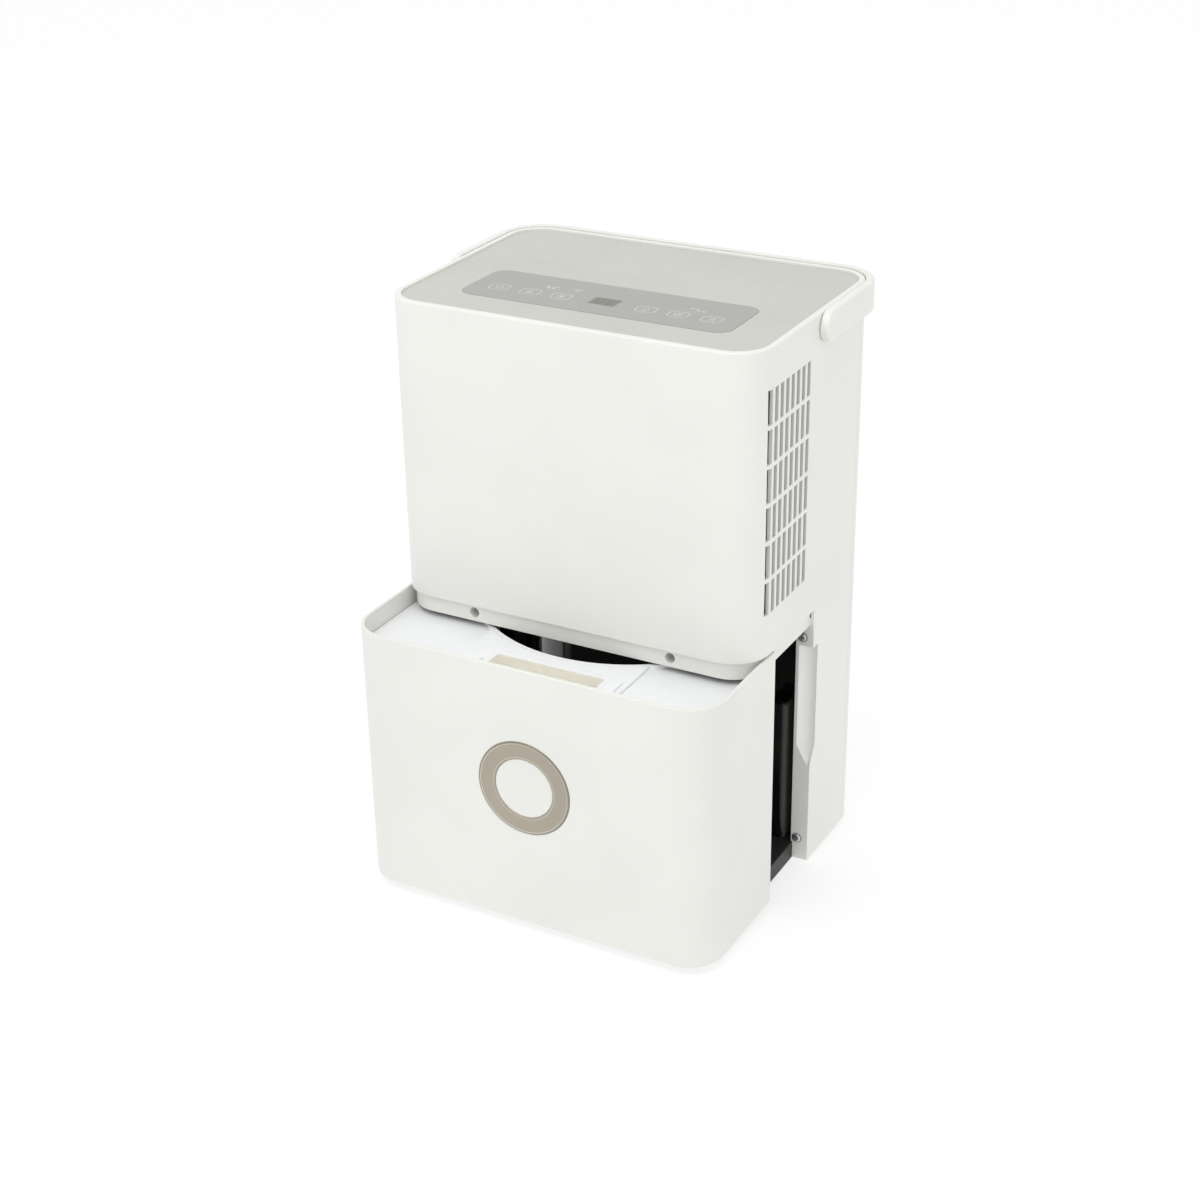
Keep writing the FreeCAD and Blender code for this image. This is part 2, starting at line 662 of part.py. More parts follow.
def compressor():
    low, high = COMP_Z
    can = upright(COMP_X, COMP_Y, COMP_R, low, high)
    can = can.makeFillet(16, [edge for edge in can.Edges if edge.BoundBox.ZLength < 0.01])
    band = upright(COMP_X, COMP_Y, COMP_R + 1.2, high - 46, high - 38)
    legs = []
    for x, y in compressor_legs():
        arm = box(0, COMP_LEG_R, -9, 9, low - 4, low)
        arm.rotate(Vec(0, 0, 0), Z_DIR, math.degrees(math.atan2(y - COMP_Y, x - COMP_X)))
        legs.append(moved(arm, Vec(COMP_X, COMP_Y, 0)))
        legs.append(upright(x, y, 10, low - 4, low))
    foot = upright(COMP_X, COMP_Y, 30, low - 4, low + 4)
    body = fuse([can, band, foot] + legs)
    return cut(body, [upright(x, y, 4.5, low - 5, low + 1) for x, y in compressor_legs()])


def compressor_grommets():
    grommets = []
    for x, y in compressor_legs():
        rubber = upright(x, y, 9, BASE_TOP, COMP_Z[0] - 4)
        waist = cut(upright(x, y, 10, 21, 25), [upright(x, y, 7.5, 20, 26)])
        grommets.append(cut(rubber, [waist, upright(x, y, 4, BASE_TOP - EPS, BASE_TOP + 3),
                                     upright(x, y, 2.6, BASE_TOP, COMP_Z[0])]))
    return Part.makeCompound(grommets)


def compressor_bolts():
    bolts = []
    for x, y in compressor_legs():
        shank = upright(x, y, 2.5, BASE_TOP + 3, COMP_Z[0])
        washer = upright(x, y, 8, COMP_Z[0], COMP_Z[0] + 1.2)
        head = upright(x, y, 4, COMP_Z[0] + 1.2, COMP_Z[0] + 5)
        bolts.append(fuse([shank, washer, head]))
    return Part.makeCompound(bolts)


def terminal_cover():
    top = COMP_Z[1]
    cap = slab(COMP_X - 20, COMP_X + 20, COMP_Y - 16, COMP_Y + 16, top, top + 15, 6)
    return cut(cap, [slab(COMP_X - 18, COMP_X + 18, COMP_Y - 14, COMP_Y + 14, top - EPS, top + 13, 4)])


def accumulator():
    can = upright(ACC_X, ACC_Y, ACC_R, ACC_Z[0], ACC_Z[1])
    can = can.makeFillet(9, [edge for edge in can.Edges if edge.BoundBox.ZLength < 0.01])
    strap = box(COMP_X + COMP_R - 2, ACC_X, ACC_Y - 6, ACC_Y + 6, 100, 112)
    strap = cut(strap, [upright(COMP_X, COMP_Y, COMP_R, 99, 113)])
    elbow = pipe([Vec(ACC_X, ACC_Y, ACC_Z[0] + 2), Vec(ACC_X, ACC_Y, 48),
                  Vec(COMP_X + COMP_R + 0.5, ACC_Y - 10, 48)], 4.5, 10)
    elbow = cut(elbow, [upright(COMP_X, COMP_Y, COMP_R + 0.2, 30, 70)])
    return fuse([can, strap, elbow])


def coil_core(y_mid):
    """Fin pack of one coil, pierced for its tubes."""
    x0, x1 = COIL_X
    z0, z1 = COIL_Z
    block = box(x0, x1, y_mid - COIL_T / 2, y_mid + COIL_T / 2, z0, z1)
    holes = []
    for z in pass_heights():
        holes.append(along_x(y_mid, z, COIL_TUBE_R + 0.02, x0 - EPS, x1 + EPS))
    return cut(block, holes)


def pass_heights():
    z0, z1 = COIL_Z
    pitch = (z1 - z0) / COIL_PASSES
    return [z0 + pitch * (row + 0.5) for row in range(COIL_PASSES)]


def coil_tube(y_mid):
    """One tube that runs to and fro through the fins, joined by return bends."""
    heights = pass_heights()
    left = COIL_X[0] - TUBE_END
    right = COIL_X[1] + TUBE_END
    bend = (heights[1] - heights[0]) / 2
    parts = []
    for row, z in enumerate(heights):
        parts.append(along_x(y_mid, z, COIL_TUBE_R, left, right))
        if row == 0:
            continue
        x = right if row % 2 else left
        ring = Part.makeTorus(bend, COIL_TUBE_R, Vec(x, y_mid, z - bend), Y_DIR)
        side = box(x, x + 40, y_mid - 9, y_mid + 9, z - 40, z + 20) if row % 2 else \
            box(x - 40, x, y_mid - 9, y_mid + 9, z - 40, z + 20)
        parts.append(ring.common(side))
    return fuse(parts)


def coil_brackets():
    """Galvanised end plates that hold both coils on the drip tray."""
    plates = []
    for x0 in (COIL_X[0] - 2.6, COIL_X[1] + 1.0):
        plate = box(x0, x0 + 1.6, COND_Y - 11, EVAP_Y + 11, COIL_Z[0] - 10, COIL_Z[1] + 4)
        holes = []
        for y in (COND_Y, EVAP_Y):
            for z in pass_heights():
                holes.append(along_x(y, z, COIL_TUBE_R + 0.05, x0 - EPS, x0 + 3))
        plates.append(cut(plate, holes))
    return Part.makeCompound(plates)


def suction_pipe():
    """From the lowest pass of the cooling coil down into the accumulator."""
    low = pass_heights()[0]
    run_z = DECK_Z[0] - 10
    return pipe([Vec(COIL_X[0] - TUBE_END, EVAP_Y, low), Vec(SUCTION_X, EVAP_Y, low),
                 Vec(SUCTION_X, EVAP_Y, run_z), Vec(ACC_X, EVAP_Y, run_z),
                 Vec(ACC_X, ACC_Y, run_z), Vec(ACC_X, ACC_Y, ACC_Z[1])], 4.0, 9)


def discharge_pipe():
    """From the compressor's top up into the lowest pass of the warming coil."""
    low = pass_heights()[0]
    start_x = COMP_X - 30
    run_z = COMP_Z[1] + 14
    return pipe([Vec(start_x, COMP_Y, COMP_Z[1]), Vec(start_x, COMP_Y, run_z),
                 Vec(start_x, COND_Y, run_z), Vec(DISCHARGE_X, COND_Y, run_z),
                 Vec(DISCHARGE_X, COND_Y, low), Vec(COIL_X[0] - TUBE_END, COND_Y, low)], 3.0, 6.5)


def filter_drier():
    """Drier on a neck that leaves the warming coil's top pass."""
    z = pass_heights()[-1]
    x = COIL_X[1] + TUBE_END
    body = upright(DRIER_X, DRIER_Y, 8, z - 78, z - 26)
    body = body.makeFillet(5, [edge for edge in body.Edges if edge.BoundBox.ZLength < 0.01])
    neck = pipe([Vec(x, COND_Y, z), Vec(DRIER_X, COND_Y, z), Vec(DRIER_X, DRIER_Y, z),
                 Vec(DRIER_X, DRIER_Y, z - 30)], 3.0, 6)
    return fuse([body, neck])


def capillary_tube():
    """Thin tube from the drier to the top of the cooling coil."""
    z = pass_heights()[-1]
    x = COIL_X[1] + TUBE_END
    return pipe([Vec(DRIER_X, DRIER_Y, z - 78), Vec(DRIER_X, DRIER_Y, z - 96),
                 Vec(DRIER_X + 16, DRIER_Y + 14, z - 96), Vec(DRIER_X + 16, EVAP_Y, z - 60),
                 Vec(DRIER_X + 4, EVAP_Y, z), Vec(x, EVAP_Y, z)], 1.4, 4)


def drip_tray():
    """Tray under both coils, with a channel forward to the spout over the tank."""
    low = DECK_Z[1]
    top = COIL_Z[0] - 10.5
    tray = box(COIL_X[0] - 6, COIL_X[1] + 8, COND_Y - 12, EVAP_Y + 12, low, top)
    basin = box(COIL_X[0] - 4, COIL_X[1] + 6, COND_Y - 10, EVAP_Y + 10, low + 2, top + EPS)
    arm = box(COIL_X[1] + 4, INLET_X + 8, INLET_Y - 8, COND_Y + 4, low, top)
    gutter = box(COIL_X[1] + 6, INLET_X + 6, INLET_Y - 6, COND_Y + 2, low + 2, top + EPS)
    mouth = box(COIL_X[1] + 2, COIL_X[1] + 9, COND_Y - 8, COND_Y + 2, low + 2, top + EPS)
    spout = upright(INLET_X, INLET_Y, 7, DECK_Z[0] - 3, low + 1)
    body = cut(fuse([tray, arm, spout]), [basin, gutter, mouth,
                                          upright(INLET_X, INLET_Y, 5, DECK_Z[0] - 4, low + 3)])
    outlet = along_y(DRAIN_X, DRAIN_Z, DRAIN_BORE_R, EVAP_Y + 8, EVAP_Y + 14)
    return cut(body, [outlet, pipe_clearance()])


def pipe_clearance():
    """Room for the two pipes that pass the tray's left end."""
    left = COIL_X[0] - 6
    return box(left - 20, left, 0, 100, DECK_Z[1] - EPS, COIL_Z[0])


# ---- fan ---------------------------------------------------------------------------------------
def scroll_block(inset, y0, y1, right):
    top = FAN_Z + SCROLL_R - inset
    bottom = FAN_Z - SCROLL_R + inset
    round_end = along_y(FAN_X, FAN_Z, SCROLL_R - inset, y0, y1)
    return fuse([round_end, box(FAN_X, right, y0, y1, bottom, top)])


def fan_scroll():
    """Air housing: round about the wheel, straight out to the slots in the right side."""
    y0, y1 = SCROLL_Y
    right = HALF_W - WALL - 0.4
    outer = scroll_block(0, y0, y1, right)
    inner = scroll_block(SCROLL_T, y0 + SCROLL_T, y1 - SCROLL_T, right + EPS)
    inlet = along_y(FAN_X, FAN_Z, FAN_R - 9, y1 - 5, y1 + EPS)
    shaft_hole = along_y(FAN_X, FAN_Z, 9, y0 - EPS, y0 + 5)
    feet = []
    for x in (-80.0, 60.0):
        feet.append(box(x - 8, x + 8, y0 + 10, y1 - 10, DECK_Z[1], FAN_Z))
    feet = [cut(foot, [scroll_block(0, y0, y1, right)]) for foot in feet]
    body = fuse([cut(outer, [inner, inlet, shaft_hole])] + feet)
    return body.common(footprint(WALL + 0.4, DECK_Z[1], PANEL_TOP))


def fan_impeller():
    y0, y1 = FAN_Y
    disc = along_y(FAN_X, FAN_Z, FAN_R, y0, y0 + 2)
    hub = along_y(FAN_X, FAN_Z, 10, y0, y0 + 22)
    ring = cut(along_y(FAN_X, FAN_Z, FAN_R, y1 - 3, y1),
               [along_y(FAN_X, FAN_Z, FAN_R - 9, y1 - 4, y1 + EPS)])
    blades = []
    for number in range(BLADES):
        blade = box(FAN_R - 9.5, FAN_R - 0.5, y0 + 1, y1 - 1, -BLADE_T / 2, BLADE_T / 2)
        blade.rotate(Vec(FAN_R - 9.5, 0, 0), Y_DIR, 22)
        blade.rotate(Vec(0, 0, 0), Y_DIR, 360.0 * number / BLADES)
        blades.append(moved(blade, Vec(FAN_X, 0, FAN_Z)))
    rotor = along_y(FAN_X, FAN_Z, FAN_R, y0 - EPS, y1 + EPS)
    body = fuse([disc, hub, ring] + blades).common(rotor)
    return cut(body, [along_y(FAN_X, FAN_Z, SHAFT_R, y0 - EPS, y1)])


def fan_shaft():
    return along_y(FAN_X, FAN_Z, SHAFT_R, MOTOR_Y[0] + 2, FAN_Y[0] + 26)


def fan_nut():
    y = FAN_Y[0] + 22
    nut = along_y(FAN_X, FAN_Z, 6, y, y + 3.5)
    return cut(nut, [along_y(FAN_X, FAN_Z, SHAFT_R, y - EPS, y + 5)])


def motor_ears():
    """Centres of the motor's four screw ears, as x and z."""
    centres = []
    for turn in MOTOR_EAR_TURNS:
        angle = math.radians(turn)
        centres.append((FAN_X + MOTOR_EAR_R * math.cos(angle), FAN_Z + MOTOR_EAR_R * math.sin(angle)))
    return centres


def fan_motor():
    y0, y1 = MOTOR_Y
    can = along_y(FAN_X, FAN_Z, MOTOR_R, y0, y1)
    can = can.makeFillet(4, [edge for edge in can.Edges if edge.BoundBox.YMin > y1 - 0.1])
    ears = [along_y(x, z, 6, y0, y0 + 4) for x, z in motor_ears()]
    bearing = along_y(FAN_X, FAN_Z, 8, y1 - 1, y1 + 3)
    body = fuse([can, bearing] + ears)
    bore = along_y(FAN_X, FAN_Z, SHAFT_R + 0.05, y0 + 1, y1 + 5)
    holes = [bore]
    for x, z in motor_ears():
        holes.append(along_y(x, z, SCREW_R + 0.05, y0 - EPS, y0 + 9))
        holes.append(along_y(x, z, SCREW_HEAD_R + 0.3, y0 + 4, y0 + 10))
    return cut(body, holes)


def motor_screws():
    screws = []
    seat_y = MOTOR_Y[0] + 4
    for x, z in motor_ears():
        shank = along_y(x, z, SCREW_R, MOTOR_Y[0], seat_y)
        head = along_y(x, z, SCREW_HEAD_R, seat_y, seat_y + 2)
        screws.append(fuse([shank, head]))
    return Part.makeCompound(screws)


# ---- rear intake, filter, drain and cord inlet -------------------------------------------------
def intake_grille():
    """Removable grille in the back, which carries the air filter."""
    low, high = INTAKE_Z
    plate = wall_plate(-INTAKE_HALF, INTAKE_HALF, HALF_D - 1.4, HALF_D + 0.8, low, high, 9.5)
    collar_x = INTAKE_HALF - INTAKE_FRAME + 2.4
    collar = wall_plate(-collar_x, collar_x, HALF_D - 6, HALF_D, low + INTAKE_FRAME - 2.4,
                        high - INTAKE_FRAME + 2.4, 5.5)
    collar = cut(collar, [wall_plate(-collar_x + 1.6, collar_x - 1.6, HALF_D - 7, HALF_D - 1.4,
                                     low + INTAKE_FRAME - 0.8, high - INTAKE_FRAME + 0.8, 4)])
    slots = []
    pitch_x = 2 * (INTAKE_HALF - INTAKE_FRAME) / INTAKE_COLUMNS
    pitch_z = (high - low - 2 * INTAKE_FRAME) / INTAKE_ROWS
    for column in range(INTAKE_COLUMNS):
        for row in range(INTAKE_ROWS):
            x = -INTAKE_HALF + INTAKE_FRAME + column * pitch_x + 1.6
            z = low + INTAKE_FRAME + row * pitch_z + 1.6
            slots.append(box(x, x + pitch_x - 3.2, HALF_D - 3, HALF_D + 2, z, z + pitch_z - 3.2))
    return cut(fuse([plate, collar]), slots)


def filter_frame():
    low, high = INTAKE_Z
    half = INTAKE_HALF - INTAKE_FRAME + 0.6
    z0 = low + INTAKE_FRAME - 0.6
    z1 = high - INTAKE_FRAME + 0.6
    frame = wall_plate(-half, half, HALF_D - 5.8, HALF_D - 1.6, z0, z1, 3.5)
    bays = []
    step = (2 * half - 4) / 3
    for column in range(3):
        x = -half + 3 + column * step
        bays.append(box(x, x + step - 2, HALF_D - 7, HALF_D, z0 + 3, z1 - 3))
    return cut(frame, bays)


def filter_mesh():
    low, high = INTAKE_Z
    half = INTAKE_HALF - INTAKE_FRAME + 0.4
    return wall_plate(-half, half, HALF_D - 6.4, HALF_D - 5.8, low + INTAKE_FRAME,
                      high - INTAKE_FRAME, 4)


def drain_outlet():
    spigot = along_y(DRAIN_X, DRAIN_Z, DRAIN_R, EVAP_Y + 12, HALF_D + 6)
    flange = along_y(DRAIN_X, DRAIN_Z, DRAIN_R + 3, HALF_D, HALF_D + 1.6)
    return cut(fuse([spigot, flange]), [along_y(DRAIN_X, DRAIN_Z, DRAIN_BORE_R, EVAP_Y + 10,
                                                HALF_D + 7)])


def drain_plug():
    stem = along_y(DRAIN_X, DRAIN_Z, DRAIN_BORE_R - 0.06, HALF_D - 3, HALF_D + 6.2)
    head = along_y(DRAIN_X, DRAIN_Z, DRAIN_R + 1, HALF_D + 6.1, HALF_D + 9)
    tab = box(DRAIN_X - 3, DRAIN_X + 3, HALF_D + 6.1, HALF_D + 9, DRAIN_Z - 16, DRAIN_Z)
    return fuse([stem, head, tab])


def cord_inlet():
    gland = along_y(CORD_X, CORD_Z, CORD_GLAND_R, HALF_D - 8, HALF_D + 3)
    collar = along_y(CORD_X, CORD_Z, CORD_GLAND_R + 3, HALF_D, HALF_D + 3)
    return cut(fuse([gland, collar]), [along_y(CORD_X, CORD_Z, CORD_BORE_R, HALF_D - 9, HALF_D + 4)])


# ---- electrics ---------------------------------------------------------------------------------
def power_board():
    board = box(52, 128, 86, 87.6, 62, 160)
    parts = [box(60, 82, 72, 86, 70, 96), box(92, 120, 76, 86, 70, 92), box(60, 76, 78, 86, 110, 150),
             box(90, 102, 78, 86, 112, 128), box(108, 122, 78, 86, 112, 128)]
    return fuse([board] + parts)


def run_capacitor():
    can = upright(110, 50, 16, BASE_TOP, 88)
    return can.makeFillet(2, [edge for edge in can.Edges if edge.BoundBox.ZMin > 87])


def humidity_sensor():
    board = box(98, 99.2, 84, 96, 262, 284)
    return fuse([board, box(95, 98, 87, 93, 268, 276)])


def frost_sensor():
    probe = upright(-60, EVAP_Y + COIL_T / 2 + 2.6, 2.5, 300, 326)
    return probe.makeFillet(1.2, [edge for edge in probe.Edges if edge.BoundBox.ZLength < 0.01])


def tank_sensor():
    """Magnet switch behind the wall, level with the float when the tank is full."""
    return slab(-124, -104, WALL_WING_Y + BULGE_T, WALL_WING_Y + BULGE_T + 9, 138, 166, 2)


# ---- fasteners ---------------------------------------------------------------------------------
def flange_screws():
    screws = []
    for x in (-FLANGE_SCREW_X, FLANGE_SCREW_X):
        for z in FLANGE_SCREW_Z:
            screws.append(aimed(pan_head_screw(11), Vec(0, -1, 0), Vec(x, FLANGE_Y + 0.9, z)))
    return Part.makeCompound(screws)


def lip_screws():
    screws = []
    for x in (-LIP_HOLE_X, LIP_HOLE_X):
        screws.append(aimed(pan_head_screw(8), Vec(0, -1, 0), Vec(x, LIP_BOSS_Y, LIP_HOLE_Z)))
    return Part.makeCompound(screws)


def lip_bosses():
    """Screw bosses on the deck's front edge, behind the two holes in the lip."""
    bosses = []
    y = LIP_BOSS_Y
    for x in (-LIP_HOLE_X, LIP_HOLE_X):
        bosses.append(box(x - 6, x + 6, y, y + 8, DECK_Z[1] - 1, DECK_Z[1] + 8))
    return bosses


def rear_screws():
    screws = []
    for x, z in REAR_SCREWS:
        screws.append(aimed(pan_head_screw(10), Vec(0, 1, 0), Vec(x, HALF_D - 0.9, z)))
    return Part.makeCompound(screws)


def deck_with_bosses():
    holes = []
    y = LIP_BOSS_Y
    for x in (-LIP_HOLE_X, LIP_HOLE_X):
        holes.append(along_y(x, LIP_HOLE_Z, SCREW_R, y - EPS, y + 8.5))
        holes.append(along_y(x, LIP_HOLE_Z, SLEEVE_R + 0.3, -HALF_D, y))
    return cut(fuse([mid_deck()] + lip_bosses()), holes)


def build_all():
    return {
        "main_housing": main_housing(), "rear_housing": rear_housing(), "top_panel": top_panel(),
        "control_strip": control_strip(), "display_window": display_window(),
        "control_board": control_board(), "display_module": display_module(),
        "touch_springs": touch_springs(), "carry_handle": carry_handle(),
        "handle_pivots": handle_pivots(), "tank_cover": tank_cover(), "level_ring": level_ring(),
        "tank_tub": tank_tub(), "tank_lid": tank_lid(), "tank_grip": tank_grip(),
        "float_body": float_body(), "float_magnet": float_magnet(), "base_tray": base_tray(),
        "foot_pads": foot_pads(), "chassis_wall": chassis_wall(), "mid_deck": deck_with_bosses(),
        "compressor": compressor(), "compressor_grommets": compressor_grommets(),
        "compressor_bolts": compressor_bolts(), "terminal_cover": terminal_cover(),
        "accumulator": accumulator(), "evaporator_fins": coil_core(EVAP_Y),
        "evaporator_tube": coil_tube(EVAP_Y), "condenser_fins": coil_core(COND_Y),
        "condenser_tube": coil_tube(COND_Y), "coil_brackets": coil_brackets(),
        "suction_pipe": suction_pipe(), "discharge_pipe": discharge_pipe(),
        "filter_drier": filter_drier(), "capillary_tube": capillary_tube(),
        "drip_tray": drip_tray(), "fan_scroll": fan_scroll(), "fan_impeller": fan_impeller(),
        "fan_shaft": fan_shaft(), "fan_nut": fan_nut(), "fan_motor": fan_motor(),
        "motor_screws": motor_screws(), "intake_grille": intake_grille(),
        "filter_frame": filter_frame(), "filter_mesh": filter_mesh(),
        "drain_outlet": drain_outlet(), "drain_plug": drain_plug(), "cord_inlet": cord_inlet(),
        "power_board": power_board(), "run_capacitor": run_capacitor(),
        "humidity_sensor": humidity_sensor(), "frost_sensor": frost_sensor(),
        "tank_sensor": tank_sensor(), "flange_screws": flange_screws(),
        "lip_screws": lip_screws(), "rear_screws": rear_screws(),
    }


os.makedirs("parts", exist_ok=True)
for node_name, node_shape in build_all().items():
    save(node_name, node_shape)
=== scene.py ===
"""Looks for a compressor dehumidifier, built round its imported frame.

Every piece is in metres, in the frame's own axes: +Z up, the water tank at -Y, the air outlet at +X.
"""
import json
import logging
import math
from dataclasses import dataclass, field
from enum import Enum
from typing import Sequence

import bmesh
import bpy
from mathutils import Matrix, Vector


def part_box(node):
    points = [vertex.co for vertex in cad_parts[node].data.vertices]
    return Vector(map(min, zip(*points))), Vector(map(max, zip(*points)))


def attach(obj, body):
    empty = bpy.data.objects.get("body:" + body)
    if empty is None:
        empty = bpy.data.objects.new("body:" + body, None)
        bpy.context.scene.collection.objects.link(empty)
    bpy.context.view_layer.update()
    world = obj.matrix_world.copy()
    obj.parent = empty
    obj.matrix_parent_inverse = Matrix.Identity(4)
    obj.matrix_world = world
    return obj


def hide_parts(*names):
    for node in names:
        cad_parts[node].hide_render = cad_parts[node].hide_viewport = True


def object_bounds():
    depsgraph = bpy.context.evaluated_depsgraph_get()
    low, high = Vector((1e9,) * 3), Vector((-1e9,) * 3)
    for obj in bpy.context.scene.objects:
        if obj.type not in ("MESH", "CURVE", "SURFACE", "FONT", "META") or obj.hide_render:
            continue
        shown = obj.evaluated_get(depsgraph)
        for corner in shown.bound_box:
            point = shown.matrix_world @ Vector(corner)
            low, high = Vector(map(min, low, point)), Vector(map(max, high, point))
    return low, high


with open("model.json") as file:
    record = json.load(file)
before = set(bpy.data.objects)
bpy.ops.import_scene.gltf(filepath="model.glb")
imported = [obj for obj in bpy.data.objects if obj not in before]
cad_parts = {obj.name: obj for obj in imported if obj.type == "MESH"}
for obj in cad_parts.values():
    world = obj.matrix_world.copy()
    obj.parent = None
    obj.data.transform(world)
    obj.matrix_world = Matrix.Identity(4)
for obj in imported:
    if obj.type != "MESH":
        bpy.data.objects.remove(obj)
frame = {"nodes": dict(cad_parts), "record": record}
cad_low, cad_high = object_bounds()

log = logging.getLogger("dehumidifier")

Socket = bpy.types.NodeSocket
Material = bpy.types.Material
Mesh = bpy.types.Mesh
Object = bpy.types.Object
BMesh = bmesh.types.BMesh
MM = 0.001
Colour = tuple[float, float, float]
Point = tuple[float, float, float]
Box = tuple[Vector, Vector]


# ---- nodes, for shaders and for geometry -----------------
class Level:
    """A number on a socket. Its operators add Math nodes to the same tree."""

    def __init__(self, book: "NodeBook", socket: Socket) -> None:
        """Keep the tree and the socket that carries the number."""
        self.book = book
        self.socket = socket

    def math(self, operation: str, *others: "Level | float", swapped: bool = False) -> "Level":
        """Add one Math node.

        Args:
            operation: the Math node's operation.
            others: the values that come after this one.
            swapped: put this value second.

        Returns:
            The node's result.
        """
        values = [self, *others]
        if swapped:
            values[0], values[1] = values[1], values[0]
        return self.book.level("ShaderNodeMath", {"operation": operation}, dict(enumerate(values)))

    def __add__(self, other: "Level | float") -> "Level":
        """Sum."""
        return self.math("ADD", other)

    __radd__ = __add__

    def __sub__(self, other: "Level | float") -> "Level":
        """Difference."""
        return self.math("SUBTRACT", other)

    def __rsub__(self, other: float) -> "Level":
        """Difference, from a plain number."""
        return self.math("SUBTRACT", other, swapped=True)

    def __mul__(self, other: "Level | float") -> "Level":
        """Product."""
        return self.math("MULTIPLY", other)

    __rmul__ = __mul__

    def __truediv__(self, other: "Level | float") -> "Level":
        """Quotient."""
        return self.math("DIVIDE", other)

    def __gt__(self, other: "Level | float") -> "Level":
        """1 where this is the greater."""
        return self.math("GREATER_THAN", other)

    def __lt__(self, other: "Level | float") -> "Level":
        """1 where this is the smaller."""
        return self.math("LESS_THAN", other)

    def __abs__(self) -> "Level":
        """Size without sign."""
        return self.math("ABSOLUTE")

    def cosine(self) -> "Level":
        """Cosine, of radians."""
        return self.math("COSINE")

    def ramp(self, low: float, high: float) -> "Level":
        """Smooth rise from 0 at low to 1 at high."""
        return self.book.level("ShaderNodeMapRange", {"interpolation_type": "SMOOTHSTEP"},
                               {"Value": self, "From Min": low, "From Max": high})


class NodeBook:
    """A node tree and the one method that adds nodes to it."""

    def __init__(self, tree: bpy.types.NodeTree) -> None:
        """Keep the tree."""
        self.tree = tree

    def node(self, kind: str, settings: dict | None = None, inputs: dict | None = None) -> bpy.types.Node:
        """Add a node.

        Args:
            kind: the node's type.
            settings: its own properties, set first.
            inputs: values or links by a socket's name, identifier or number.

        Returns:
            The new node.
        """
        made = self.tree.nodes.new(kind)
        for name, value in (settings or {}).items():
            setattr(made, name, value)
        for key, value in (inputs or {}).items():
            self._feed(self._inlet(made, key), value)
        return made

    def level(self, kind: str, settings: dict | None = None, inputs: dict | None = None,
              outlet: int | str = 0) -> Level:
        """Add a node and return one of its outputs as a number."""
        return Level(self, self.node(kind, settings, inputs).outputs[outlet])

    def split(self, vector: Socket) -> list[Level]:
        """The three numbers of a vector."""
        made = self.node("ShaderNodeSeparateXYZ", None, {"Vector": vector})
        return [Level(self, socket) for socket in made.outputs]

    def join(self, x: Level | float, y: Level | float, z: Level | float) -> Socket:
        """A vector of three numbers."""
        return self.node("ShaderNodeCombineXYZ", None, {"X": x, "Y": y, "Z": z}).outputs[0]

    @staticmethod
    def _inlet(made: bpy.types.Node, key: int | str) -> Socket:
        """The input that a number, an identifier or a name means.

        Args:
            made: the node.
            key: which input.

        Returns:
            The input socket.
        """
        if isinstance(key, int):
            return made.inputs[key]
        for socket in made.inputs:
            if socket.identifier == key:
                return socket
        return made.inputs[key]

    def _feed(self, socket: Socket, value: object) -> None:
        """Link a socket or set its value.

        Args:
            socket: an input socket.
            value: a number, a colour or something to link.
        """
        if isinstance(value, Level):
            value = value.socket
        if isinstance(value, Socket):
            self.tree.links.new(value, socket)
        elif socket.type == "RGBA" and len(value) == 3:
            socket.default_value = (*value, 1.0)
        else:
            socket.default_value = value


